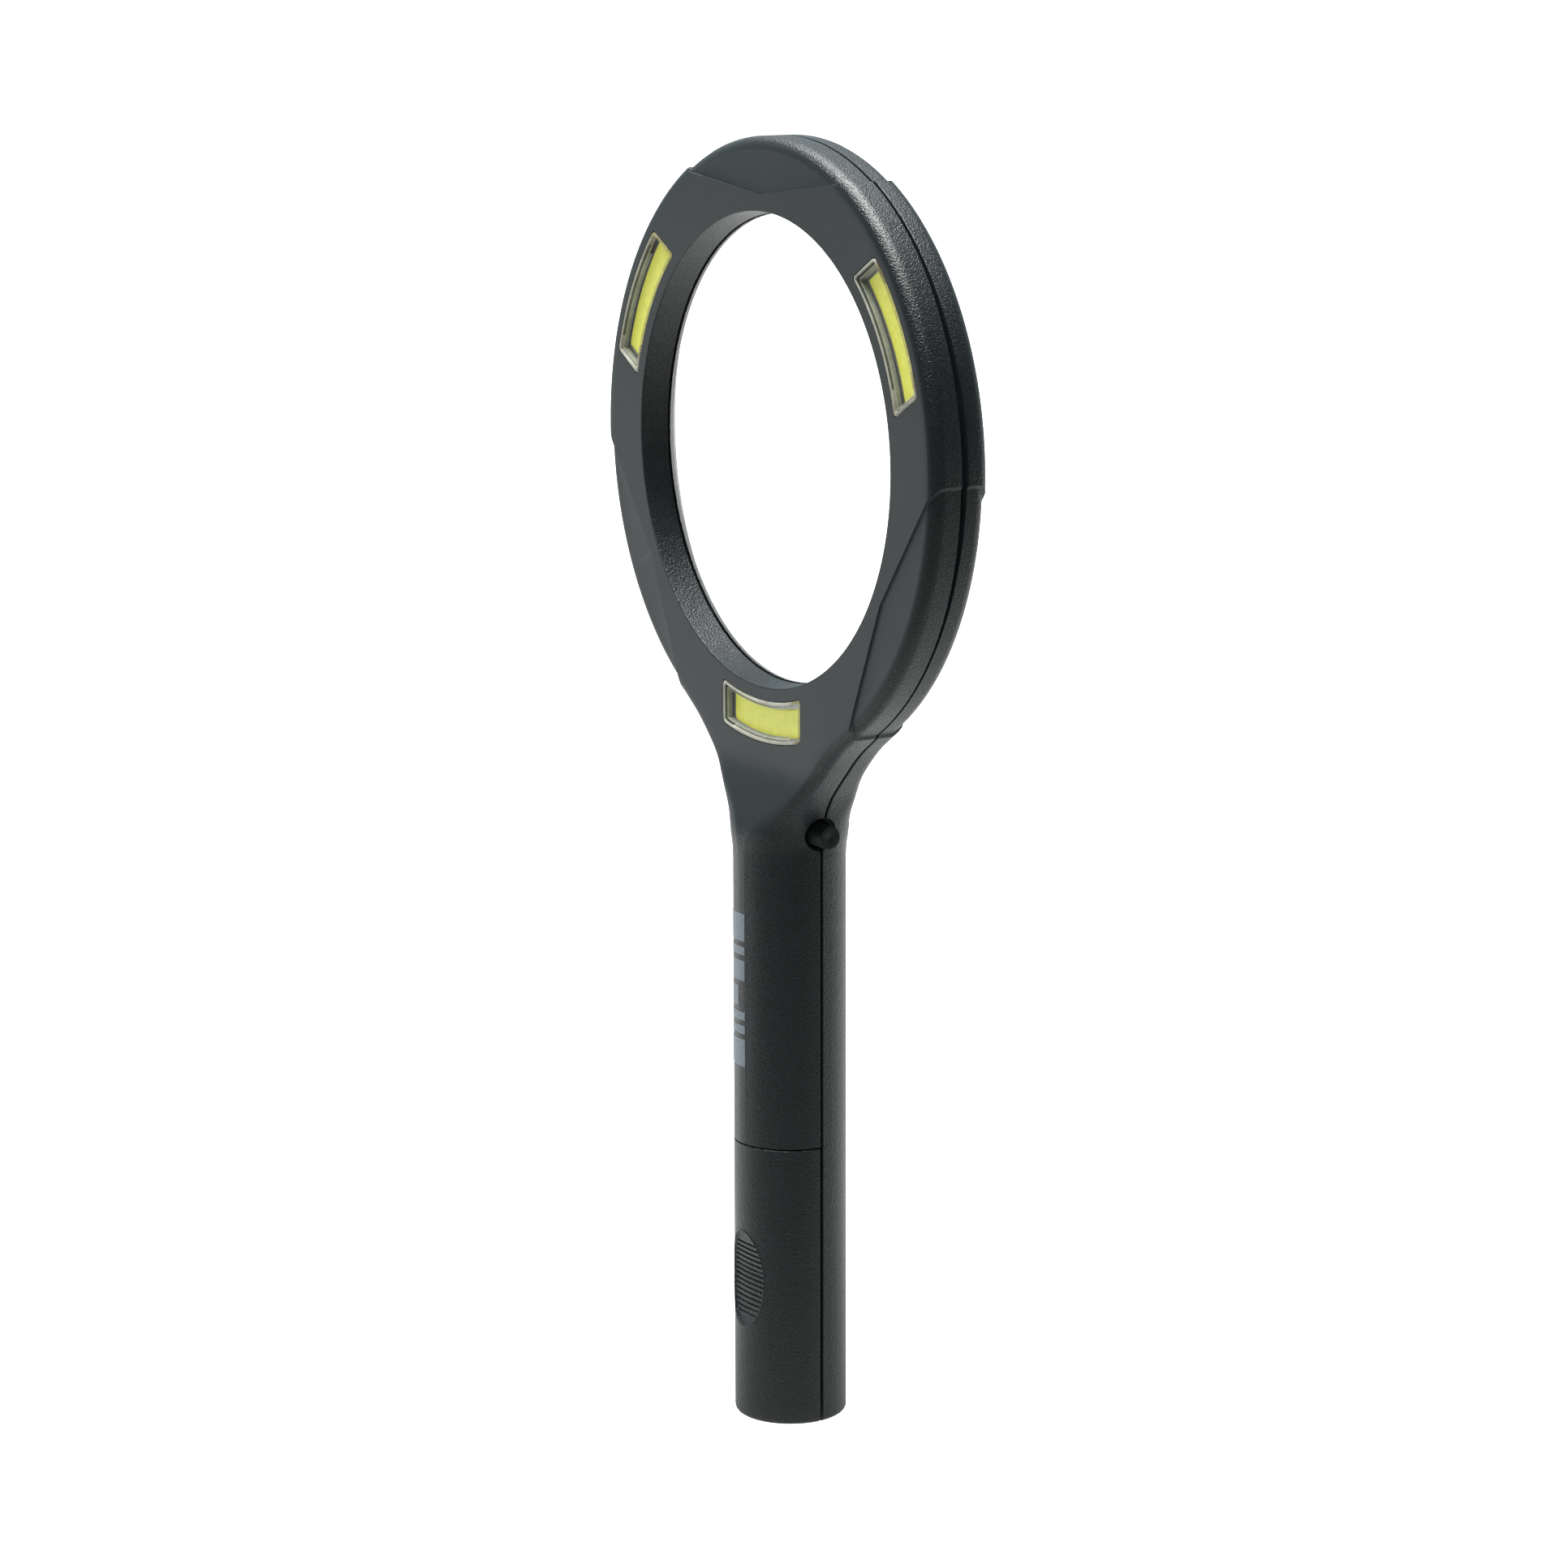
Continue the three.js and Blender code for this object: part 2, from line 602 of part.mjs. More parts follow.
add("battery_wire_positive", "red_wire", lead([[-5.2, 0, 109.4], [-4.6, 1.6, 110.2], [-4, 3.2, 110.7]]));
add("battery_wire_negative", "black_wire", lead([[0, 6.3, 109.5], [0.6, 5, 109.9], [1, 3.2, 110.7]]));
const screwNames = ["screw_ring_top", "screw_ring_left", "screw_ring_right", "screw_neck"];
ringScrewPlaces().forEach(([x, z], i) => add(screwNames[i], "screw", screw(x, z)));

export default magnifier;
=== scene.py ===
# Low vision magnifier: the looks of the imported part.
# Dimensions are in millimetres and are turned into metres when a mesh is made.
import math

import bpy
import numpy as np
from mathutils import Matrix, Vector


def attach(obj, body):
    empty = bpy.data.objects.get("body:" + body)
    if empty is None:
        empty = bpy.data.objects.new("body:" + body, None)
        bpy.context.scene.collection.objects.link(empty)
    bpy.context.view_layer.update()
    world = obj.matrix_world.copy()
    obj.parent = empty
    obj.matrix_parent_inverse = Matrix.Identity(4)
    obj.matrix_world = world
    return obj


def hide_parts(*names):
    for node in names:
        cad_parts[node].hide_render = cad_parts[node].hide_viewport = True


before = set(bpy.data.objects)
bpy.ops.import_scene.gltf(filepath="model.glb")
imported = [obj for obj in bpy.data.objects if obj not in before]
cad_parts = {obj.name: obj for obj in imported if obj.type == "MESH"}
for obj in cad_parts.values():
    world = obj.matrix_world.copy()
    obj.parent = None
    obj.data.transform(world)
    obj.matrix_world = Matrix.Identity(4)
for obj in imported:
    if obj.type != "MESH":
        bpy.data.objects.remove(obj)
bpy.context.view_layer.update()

MM = 0.001

# ---- dimensions of the part ----
RING_Z = 190.0
RING_R = 59.4
FRONT_FACE = 6.3  # depth of the faces either side of the handle's axis
REAR_FACE = 6.0
PARTING_Y = 0.45
EDGE_ROUND = 2.6
HANDLE_R = 10.95
NECK_R = 30.0
NECK_X = HANDLE_R + NECK_R
NECK_Z = RING_Z - math.sqrt((RING_R + NECK_R) ** 2 - NECK_X ** 2)
SHOULDER_TOP = 130.0  # the faces swell out to the handle below this height
SHOULDER_BOTTOM = 116.6
SHOULDER_POWER = 1.3
SHOULDER_EASE = 0.7
ROUND_TOP = 126.0  # the edge rounding grows below this height
ROUND_BOTTOM = 112.0
FULL_TOP = 138.6  # the neck is fuller than its arc below this height, and slimmer near the handle
FULL_MIDDLE = 124.9
FULL_BOTTOM = 112.5
NECK_OUT = 1.05
NECK_IN = 0.6
WALL = 2.0
DOOR_TOP = 55.4
SEAM = 0.3
FOOT = 1.15
END_WALL = 1.8

OPENING_R = 44.97
OPENING_ROUND = 0.5
CLEAR_R = 44.4
CLEAR_Y = 0.6
LIP_Y = -0.6
GROOVE_R = 46.5
INNER_WALL_R = 47.3
FLARE_R = 52.9
FLARE_WALL_R = 51.6

LENS_R = 46.2
DOME_R = 44.2
LENS_EDGE = 0.7
LENS_SAG = 3.4

PANELS = (90.0, 210.0, 330.0)
PANEL_CORNER = 48.06
PANEL_SLOPE = 0.117
PANEL_FACE_STEP = 0.38
PANEL_EDGE_STEP = 0.48

LIGHTS = {"upper_right": 30.0, "upper_left": 150.0, "lower": 270.0}
WINDOW_IN = 47.6
WINDOW_OUT = 55.7
WINDOW_HALF = 14.0
WINDOW_FRONT = -6.42
WINDOW_BACK = -4.75

BUTTON_Z = 117.4
BUTTON_R = 2.27
BUTTON_END = 14.7
BUTTON_INNER = 7.6
BUTTON_HOLE_R = 2.75

SCREW_RING_R = 55.0
SCREW_NECK_Z = 127.0
SCREW_SEAT_Y = 3.9


def smooth(t):
    t = np.clip(t, 0.0, 1.0)
    return t * t * (3 - 2 * t)


# ---- meshes ----
def mesh_object(name, verts, faces, angle=32.0):
    """A smooth-shaded mesh from millimetre points; edges sharper than angle stay sharp."""
    mesh = bpy.data.meshes.new(name)
    mesh.from_pydata((np.asarray(verts, float) * MM).tolist(), [], faces)
    mesh.update()
    obj = bpy.data.objects.new(name, mesh)
    bpy.context.scene.collection.objects.link(obj)
    return shade(obj, angle)


def shade(obj, angle=32.0):
    mesh = obj.data
    mesh.polygons.foreach_set("use_smooth", [True] * len(mesh.polygons))
    mesh.set_sharp_from_angle(angle=math.radians(angle))
    mesh.update()
    return obj


def modifier(obj, kind, **settings):
    """Adds a modifier and applies it at once."""
    made = obj.modifiers.new(kind.lower(), kind)
    for key, value in settings.items():
        setattr(made, key, value)
    graph = bpy.context.evaluated_depsgraph_get()
    graph.update()
    mesh = bpy.data.meshes.new_from_object(obj.evaluated_get(graph))
    obj.modifiers.clear()
    old = obj.data
    obj.data = mesh
    bpy.data.meshes.remove(old)
    return obj


def discard(obj):
    mesh = obj.data
    bpy.data.objects.remove(obj)
    bpy.data.meshes.remove(mesh)


def combine(obj, tool):
    """Cuts tool, which is used up, out of obj."""
    modifier(obj, "BOOLEAN", object=tool, operation="DIFFERENCE", solver="EXACT")
    discard(tool)
    return shade(obj)


def joined(name, objects):
    """One object that holds the meshes of several."""
    verts, faces = [], []
    for o in objects:
        base = len(verts)
        verts += [tuple(v.co / MM) for v in o.data.vertices]
        faces += [tuple(base + i for i in p.vertices) for p in o.data.polygons]
        discard(o)
    return mesh_object(name, verts, faces)


def outward(obj):
    """Turns a closed mesh's faces to point out."""
    mesh = obj.data
    co = np.empty(len(mesh.vertices) * 3)
    mesh.vertices.foreach_get("co", co)
    mesh.calc_loop_triangles()
    tri = np.empty(len(mesh.loop_triangles) * 3, int)
    mesh.loop_triangles.foreach_get("vertices", tri)
    a, b, c = (co.reshape(-1, 3)[tri.reshape(-1, 3)[:, i]] for i in range(3))
    if np.einsum("ij,ij->i", a, np.cross(b, c)).sum() < 0:
        mesh.flip_normals()
        mesh.update()
    return obj


def grid_faces(rows, columns, base=0, wrap=False, flip=False):
    """Quads over rows x columns vertices."""
    faces = []
    for r in range(rows - 1):
        for c in range(columns if wrap else columns - 1):
            n = (c + 1) % columns
            quad = (base + r * columns + c, base + r * columns + n,
                    base + (r + 1) * columns + n, base + (r + 1) * columns + c)
            faces.append(quad[::-1] if flip else quad)
    return faces


def swept(name, sections, angle=32.0):
    """A closed body from sections with the same number of points, first to last."""
    count = len(sections[0])
    last = (len(sections) - 1) * count
    faces = grid_faces(len(sections), count, wrap=True)
    faces += [tuple(range(count - 1, -1, -1)), tuple(range(last, last + count))]
    return outward(mesh_object(name, [p for section in sections for p in section], faces, angle))


def revolve(name, profile, segments, place, angle=32.0):
    """A solid of revolution from (radius, height) points; the first and last lie on the axis."""
    verts, faces = [], []
    rings = profile[1:-1]
    for r, h in rings:
        for k in range(segments):
            a = 2 * math.pi * k / segments
            verts.append(place(r * math.cos(a), r * math.sin(a), h))
    faces += grid_faces(len(rings), segments, wrap=True)
    for end, row in ((0, 0), (-1, len(rings) - 1)):
        tip = len(verts)
        verts.append(place(0.0, 0.0, profile[end][1]))
        for k in range(segments):
            a, b = row * segments + k, row * segments + (k + 1) % segments
            faces.append((tip, b, a) if end == 0 else (tip, a, b))
    return outward(mesh_object(name, verts, faces, angle))


def about_y(x, z):
    return lambda u, v, h: (x + u, h, z + v)


def about_handle(u, v, h):
    return (u, v, h)


def about_button(u, v, h):
    return (h, u, BUTTON_Z + v)


def rounded(profile, radii, steps=4):
    """Rounds the corners of a polyline; radii gives one radius for each inner point."""
    points = [np.array(p, float) for p in profile]
    out = [tuple(points[0])]
    for i in range(1, len(points) - 1):
        p, q, s = points[i - 1:i + 2]
        r = radii[i - 1]
        if r <= 0:
            out.append(tuple(q))
            continue
        back, on = np.linalg.norm(p - q), np.linalg.norm(s - q)
        a, b = (p - q) / back, (s - q) / on
        half = math.acos(max(-1.0, min(1.0, float(a @ b)))) / 2
        reach = min(r / math.tan(half), 0.48 * back, 0.48 * on)
        start, end = q + a * reach, q + b * reach
        for k in range(steps + 1):
            t = k / steps
            out.append(tuple((1 - t) ** 2 * start + 2 * t * (1 - t) * q + t * t * end))
    return out + [tuple(points[-1])]


# ---- the two shells ----
def half_gap(angle):
    """Half the width of the parting gap at an angle round the ring; it is widest at the sides."""
    side = 90 - abs(abs(angle - 8) - 90) if abs(angle - 8) > 90 else abs(angle - 8)
    return 0.25 + 0.42 * smooth(1 - side / 48)


class Shell:
    """One shell: an outer and an inner surface, with columns along the outline and rows across.
    sign is -1 for the front and 1 for the rear. Depths are measured from the handle's axis."""

    SIDE_ROWS, ROUND_ROWS, FACE_ROWS = 4, 8, 11

    def __init__(self, sign, face, opening, inner_r, bottom):
        self.sign, self.face, self.opening = sign, face, opening
        self.opening_r = opening(0.25)[0][0]
        self.inner_r, self.bottom = inner_r, bottom

    def depth(self, z):
        """The face's depth at a height, averaged over a short stretch so that the swell starts softly."""
        span = SHOULDER_TOP - SHOULDER_BOTTOM
        near = [z + k * SHOULDER_EASE for k in (-2, -1, 0, 1, 2)]
        parts = [min(max((SHOULDER_TOP - q) / span, 0), 1) ** SHOULDER_POWER for q in near]
        return self.face + (HANDLE_R - self.face) * sum(parts) / 5

    def neck_point(self, alpha):
        a = math.radians(alpha)
        return (NECK_X + NECK_R * math.cos(a), NECK_Z + NECK_R * math.sin(a), math.cos(a), math.sin(a))

    def fuller(self, column):
        """Moves the neck's outline out above FULL_MIDDLE and in below it."""
        x, z, nx, nz = column[:4]
        out = 0
        if FULL_MIDDLE < z < FULL_TOP:
            out = NECK_OUT * math.sin(math.pi * (FULL_TOP - z) / (FULL_TOP - FULL_MIDDLE))
        elif FULL_BOTTOM < z <= FULL_MIDDLE:
            out = -NECK_IN * math.sin(math.pi * (z - FULL_BOTTOM) / (FULL_MIDDLE - FULL_BOTTOM))
        return (x - nx * out, z - nz * out) + column[2:]

    def split(self, low):
        """The neck angle whose inward normal meets the lowest point of the opening."""
        high = 179.0
        for _ in range(60):
            mid = (low + high) / 2
            x, z, nx, nz = self.neck_point(mid)
            low, high = (mid, high) if z - x * nz / nx > RING_Z - self.opening_r else (low, mid)
        return mid

    def columns(self):
        """(x, z, nx, nz, kind, gap) down the right half of the outline; nx, nz point inwards."""
        turn = math.degrees(math.atan2(NECK_Z - RING_Z, NECK_X))
        out = []
        for angle in np.linspace(90, turn, 154):
            c, s = math.cos(math.radians(angle)), math.sin(math.radians(angle))
            out.append((RING_R * c, RING_Z + RING_R * s, -c, -s, "ring", half_gap(angle)))
        first = 180 + turn
        split = self.split(first)
        for alpha in np.linspace(first, split, 18)[1:]:
            out.append(self.neck_point(alpha) + ("ring", half_gap(-75)))
        for alpha in np.linspace(split, 180, 30)[1:]:
            out.append(self.neck_point(alpha) + ("neck", half_gap(-75)))
        for z in np.linspace(NECK_Z, self.bottom, 40)[1:]:
            out.append((HANDLE_R, z, -1.0, 0.0, "handle", half_gap(-75)))
        return [self.fuller(column) for column in out]

    def row(self, column, inset, radius=None):
        """(offset, depth) points across one column, and the angle where it meets the opening."""
        x, z, nx, nz, kind, gap = column
        growth = smooth((ROUND_TOP - z) / (ROUND_TOP - ROUND_BOTTOM))
        outer_round = EDGE_ROUND + (HANDLE_R - EDGE_ROUND) * growth
        top = self.depth(z) - inset
        if radius is not None:
            outer_round = top = radius
        bend = max(outer_round - inset, 0.6)
        start = self.sign * PARTING_Y + gap

        def depth_at(d):
            face = top if radius is not None else self.depth(z + nz * d) - inset
            over = (bend - (d - inset)) / bend
            return face if over <= 0 else face - bend * (1 - math.sqrt(max(1 - over * over, 0.0)))

        lip = 0.16 if inset == 0 else 0.0
        low = start + lip
        phi = math.asin(min(max((low - (top - bend)) / bend, 0.0), 0.99))
        base = inset + bend * (1 - math.cos(phi))
        high = max(top - bend, low)
        points = [(base + lip, start), (base + lip * 0.3, start + lip * 0.3)]
        if not lip:
            points = [(base, start), (base, start + (high - start) * 0.1)]
        for k in range(self.SIDE_ROWS):
            t = max(low, points[-1][1]) if k == 0 else low + (high - low) * k / self.SIDE_ROWS
            t += 0.02 * (high - low) if k == 0 and not lip else 0.0
            points.append((base, max(t, points[-1][1] + 1e-4)))
        for k in range(self.ROUND_ROWS + 1):
            p = phi + (math.radians(84) - phi) * k / self.ROUND_ROWS
            d = inset + bend * (1 - math.cos(p))
            points.append((d, max(depth_at(d), points[-1][1] + 1e-4 if k == 0 else -99)))
        if kind == "ring":
            r = self.inner_r if inset else self.opening_r
            dz = z - RING_Z
            b, c = x * nx + dz * nz, x * x + dz * dz - r * r
            reach = -b - math.sqrt(max(b * b - c, 0.0))
            angle = math.atan2(dz + nz * reach, x + nx * reach)
        else:
            reach, angle = x / -nx if radius is None else radius, None
        first = points[-1][0]
        for k in range(1, self.FACE_ROWS + 1):
            d = first + (max(reach, first) - first) * k / self.FACE_ROWS
            points.append((d, depth_at(d)))
        return points, angle

    def place(self, column, row):
        x, z, nx, nz = column[:4]
        points = [(x + nx * d, self.sign * t, z + nz * d) for d, t in row]
        if column[4] != "ring":
            points[-1] = (0.0,) + points[-1][1:]
        return points

    def build(self, name):
        columns = self.columns()
        ring = sum(c[4] == "ring" for c in columns)
        outer, inner, opening = [], [], []
        for i, column in enumerate(columns):
            row, angle = self.row(column, 0.0)
            outer.append(self.place(column, row))
            inner.append(self.place(column, self.row(column, WALL)[0]))
            if i >= ring:
                continue
            c, s = math.cos(angle), math.sin(angle)
            if i == 0 or i == ring - 1:
                c, s = 0.0, math.copysign(1.0, s)
            loop = [(r * c, self.sign * t, RING_Z + r * s) for r, t in self.opening(column[5])]
            opening.append(loop)
            outer[i][-1], inner[i][-1] = loop[0], loop[-1]
        self.settle(inner, ring)
        foot = self.foot_columns() if self.bottom == 0 else []
        if foot:
            outer = outer[:-1] + foot
            inner[-1] = [(x, y, END_WALL) for x, y, z in inner[-1]]
        n = len(outer[0])
        verts = [p for column in outer for p in column]
        under = len(verts)
        verts += [p for column in inner for p in column]
        mouth = len(verts)
        verts += [p for loop in opening for p in loop]
        faces = grid_faces(len(outer), n) + grid_faces(len(inner), n, under, flip=True)
        faces += grid_faces(ring, len(opening[0]), mouth)
        rim = len(inner) - 1
        for i in range(rim):
            faces.append((i * n, under + i * n, under + (i + 1) * n, (i + 1) * n))
        last_out, last_in = (len(outer) - 1) * n, under + rim * n
        if foot:
            corner = len(verts)
            edge = outer[-1][0][1]
            verts += [(0.0, edge, 0.0), (0.0, edge, END_WALL)]
            faces.append(tuple(range(last_out, last_out + n)) + (corner,))
            faces.append((tuple(range(last_in, last_in + n)) + (corner + 1,))[::-1])
            side = tuple(i * n for i in range(rim, len(outer)))
            faces.append((side + (corner, corner + 1, last_in))[::-1])
        else:
            for j in range(n - 1):
                faces.append((last_out + j, last_out + j + 1, last_in + j + 1, last_in + j))
        count = len(verts)
        verts = np.array(verts)
        both = faces + [tuple(count + q for q in f[::-1]) for f in faces]
        obj = mesh_object(name, np.vstack([verts, verts * [-1, 1, 1]]), both)
        modifier(obj, "WELD", merge_threshold=0.0008 * MM)
        return outward(shade(obj))

    def settle(self, inner, ring):
        """Lets the middle line of the inner surface start at the wall round the opening."""
        shift = inner[ring - 1][-1][2] - (RING_Z - self.opening_r)
        top = RING_Z - self.opening_r
        first = self.SIDE_ROWS + self.ROUND_ROWS + 2
        for column in inner[ring:]:
            share = (column[-1][2] - SHOULDER_BOTTOM) / (top - SHOULDER_BOTTOM)
            if share <= 0:
                break
            for j in range(first + 1, len(column)):
                t = (j - first) / (len(column) - 1 - first)
                x, y, z = column[j]
                column[j] = (x, y, z + shift * share * t)

    def foot_columns(self):
        """Columns round the foot's edge, down to the flat end."""
        out = []
        for a in np.radians([0, 22.5, 45, 67.5, 90]):
            r, z = HANDLE_R - FOOT * (1 - math.cos(a)), FOOT * (1 - math.sin(a))
            column = (r, z, -1.0, 0.0, "handle", half_gap(-75))
            out.append(self.place(column, self.row(column, 0.0, radius=r)[0]))
        return out


def front_opening(gap):
    """(radius, depth) from the face, down the wall of the opening and back up inside the shell."""
    start = -PARTING_Y + gap
    slope = (OPENING_R - CLEAR_R) / (FRONT_FACE + CLEAR_Y)

    def wall(depth):
        return CLEAR_R + slope * (depth + CLEAR_Y)

    path = [(OPENING_R + OPENING_ROUND + 0.02, FRONT_FACE), (OPENING_R, FRONT_FACE)]
    path += [(wall(-LIP_Y), -LIP_Y), (GROOVE_R, -LIP_Y), (GROOVE_R, start)]
    path += [(INNER_WALL_R, start), (INNER_WALL_R, FRONT_FACE - WALL)]
    out = rounded(path, [OPENING_ROUND, 0.12, 0, 0, 0], 5)
    foot, deep = out[7], out[6]
    between = [tuple(deep[i] + (foot[i] - deep[i]) * k / 6 for i in (0, 1)) for k in range(1, 6)]
    return out[:7] + between + out[7:]


def rear_opening(gap):
    start = PARTING_Y + gap
    lip = min(CLEAR_Y - 0.15, start - 0.05)
    path = [(FLARE_R + 0.52, REAR_FACE), (FLARE_R, REAR_FACE), (CLEAR_R, CLEAR_Y), (CLEAR_R, lip)]
    path += [(GROOVE_R - 0.3, lip), (GROOVE_R - 0.3, start), (INNER_WALL_R, start)]
    path += [(INNER_WALL_R, start + 0.3), (FLARE_WALL_R, REAR_FACE - WALL)]
    return rounded(path, [0.5, 0.05, 0, 0, 0, 0, 0], 5)


def sector(inner, outer, half, corner, angle, arc_steps=20, corner_steps=5):
    """(x, z) outline of a ring sector with parallel ends and rounded corners, anticlockwise."""

    def arc(radius, side):
        turn = side * math.asin(half / radius)
        angles = np.linspace(math.pi / 2 - turn, math.pi / 2 + turn, arc_steps)
        return [(radius * math.cos(a), radius * math.sin(a)) for a in angles]

    path = arc(outer, 1) + arc(inner, -1)
    corners = (0, arc_steps - 1, arc_steps, 2 * arc_steps - 1)
    result = []
    for i, q in enumerate(path):
        if i not in corners or corner <= 0:
            result.append(q)
            continue
        q = np.array(q)
        p, s = np.array(path[i - 1]), np.array(path[(i + 1) % len(path)])
        a, b = (p - q) / np.linalg.norm(p - q), (s - q) / np.linalg.norm(s - q)
        for k in range(corner_steps + 1):
            t = k / corner_steps
            start, end = q + a * corner, q + b * corner
            result.append(tuple((1 - t) ** 2 * start + 2 * t * (1 - t) * q + t * t * end))
    turn = math.radians(angle - 90)
    c, s = math.cos(turn), math.sin(turn)
    return [(c * x - s * z, RING_Z + s * x + c * z) for x, z in result]


def prism(name, outline, low, high):
    """A flat plate between two Y levels from an (x, z) outline."""
    count = len(outline)
    verts = [(x, low, z) for x, z in outline] + [(x, high, z) for x, z in outline]
    faces = [tuple(range(count)), tuple(range(2 * count - 1, count - 1, -1))]
    faces += [(k, (k + 1) % count, count + (k + 1) % count, count + k)[::-1] for k in range(count)]
    return outward(mesh_object(name, verts, faces))


def stacked(name, outlines):
    """A closed body from (outline, y) pairs whose outlines have the same number of points."""
    return swept(name, [[(x, y, z) for x, z in loop] for loop, y in outlines], angle=40)


CORE_STEPS = 301  # with 360 steps the boolean left holes at the seam


def panel_cutter(angle):
    """What a recessed panel takes off the faces and the outer edge."""
    reach, outside = 34.0, 70
    high = PANEL_CORNER + reach * PANEL_SLOPE
    turn = math.radians(angle - 90)
    c, s = math.cos(turn), math.sin(turn)

    def outline(inset):
        shape = [(0, PANEL_CORNER + inset), (reach, high + inset), (reach, outside)]
        shape += [(-reach, outside), (-reach, high + inset)]
        return [(c * x - s * z, RING_Z + s * x + c * z) for x, z in shape]

    front, rear = FRONT_FACE - PANEL_FACE_STEP, REAR_FACE - PANEL_FACE_STEP
    soft = [(0.0, -12.0), (0.0, -FRONT_FACE + 0.06), (0.05, -front - 0.14), (0.16, -front - 0.05)]
    soft += [(0.36, -front + 0.01), (0.36, rear - 0.01), (0.16, rear + 0.05), (0.05, rear + 0.14)]
    soft += [(0.0, REAR_FACE - 0.06), (0.0, 12.0)]
    wedge = stacked("wedge", [(outline(inset), y) for inset, y in soft])
    r = RING_R - PANEL_EDGE_STEP
    profile = [(0, -front)]
    for a in np.radians(np.linspace(90, 0, 9)):
        profile.append((r - EDGE_ROUND * (1 - math.cos(a)), -front + EDGE_ROUND * (1 - math.sin(a))))
    for a in np.radians(np.linspace(0, 90, 9)):
        profile.append((r - EDGE_ROUND * (1 - math.cos(a)), rear - EDGE_ROUND * (1 - math.sin(a))))
    core = revolve("core", profile + [(0, rear)], CORE_STEPS, about_y(0, RING_Z))
    return combine(wedge, core)


def hole_cutter():
    """The button's hole, with a chamfer at the handle's surface."""
    surface, chamfer = 11.35, 0.7
    path = [(0, 5.0), (BUTTON_HOLE_R, 5.0), (BUTTON_HOLE_R, surface - chamfer - 0.45)]
    path += [(BUTTON_HOLE_R + chamfer, surface - 0.3), (BUTTON_HOLE_R + chamfer, 17.0), (0, 17.0)]
    return revolve("hole", path, 96, about_button)


def ring_screws():
    """(x, z) of each screw by its node's name."""
    names = ("screw_ring_top", "screw_ring_left", "screw_ring_right", "screw_neck")
    turns = [math.radians(a) for a in PANELS]
    places = [(SCREW_RING_R * math.cos(a), RING_Z + SCREW_RING_R * math.sin(a)) for a in turns]
    return dict(zip(names, places + [(0.0, SCREW_NECK_Z)]))


# ---- materials ----
class Tree:
    """Shader nodes, added step by step."""

    def __init__(self, tree, place):
        self.tree = tree
        self.place = self.node("ShaderNodeTexCoord").outputs[place]

    def node(self, kind, **settings):
        made = self.tree.nodes.new(kind)
        for key, value in settings.items():
            setattr(made, key, value)
        return made

    def link(self, a, b):
        self.tree.links.new(a, b)

    def noise(self, scale, detail=2.0, roughness=0.5, stretch=None):
        made = self.node("ShaderNodeTexNoise")
        made.inputs["Scale"].default_value = scale
        made.inputs["Detail"].default_value = detail
        made.inputs["Roughness"].default_value = roughness
        self.link(self.stretched(stretch) if stretch else self.place, made.inputs["Vector"])
        return made.outputs["Fac"]

    def cells(self, scale):
        made = self.node("ShaderNodeTexVoronoi")
        made.inputs["Scale"].default_value = scale
        self.link(self.place, made.inputs["Vector"])
        return made.outputs["Distance"]

    def stretched(self, scale):
        made = self.node("ShaderNodeMapping")
        made.inputs["Scale"].default_value = scale
        self.link(self.place, made.inputs["Vector"])
        return made.outputs["Vector"]

    def ramp(self, value, stops):
        made = self.node("ShaderNodeValToRGB")
        made.color_ramp.interpolation = "EASE"
        while len(made.color_ramp.elements) < len(stops):
            made.color_ramp.elements.new(0.5)
        for element, (at, grey) in zip(made.color_ramp.elements, stops):
            element.position = at
            element.color = (grey, grey, grey, 1)
        self.link(value, made.inputs["Fac"])
        return made.outputs["Color"]

    def math(self, operation, a, b=0.0, clamp=False):
        made = self.node("ShaderNodeMath", operation=operation, use_clamp=clamp)
        for socket, value in zip(made.inputs, (a, b)):
            if isinstance(value, (int, float)):
                socket.default_value = value
            else:
                self.link(value, socket)
        return made.outputs[0]

    def span(self, value, low, high, to_low=0.0, to_high=1.0, ease="LINEAR"):
        made = self.node("ShaderNodeMapRange", interpolation_type=ease)
        for name, v in (("From Min", low), ("From Max", high), ("To Min", to_low), ("To Max", to_high)):
            made.inputs[name].default_value = v
        self.link(value, made.inputs["Value"])
        return made.outputs[0]

    def mix(self, factor, a, b):
        made = self.node("ShaderNodeMix", data_type="RGBA")
        for socket, value in ((made.inputs[0], factor), (made.inputs[6], a), (made.inputs[7], b)):
            if isinstance(value, (int, float)):
                socket.default_value = value
            elif isinstance(value, tuple):
                socket.default_value = value + (1,)
            else:
                self.link(value, socket)
        return made.outputs[2]

    def part(self, socket, axis):
        made = self.node("ShaderNodeSeparateXYZ")
        self.link(socket, made.inputs[0])
        return made.outputs[axis]

    def towards_dark(self, rise):
        """How far a direction or a place lies towards the studio's dark side."""
        made = self.node("ShaderNodeVectorMath", operation="DOT_PRODUCT")
        self.link(self.place, made.inputs[0])
        a = math.radians(DARK_AZIMUTH)
        made.inputs[1].default_value = (math.sin(a), -math.cos(a), rise)
        return made.outputs["Value"]

    def unbounced(self):
        """1 for rays that have met nothing but clear pieces, 0 for light that falls on the object."""
        path = self.node("ShaderNodeLightPath")
        bounces = self.math("ADD", path.outputs["Diffuse Depth"], path.outputs["Glossy Depth"])
        return self.math("LESS_THAN", bounces, 0.5)


SOCKETS = {"metallic": "Metallic", "ior": "IOR", "transmission": "Transmission Weight", "coat": "Coat Weight",
           "coat_roughness": "Coat Roughness", "specular": "Specular IOR Level", "alpha": "Alpha",
           "emission": "Emission Strength", "roughness": "Roughness"}


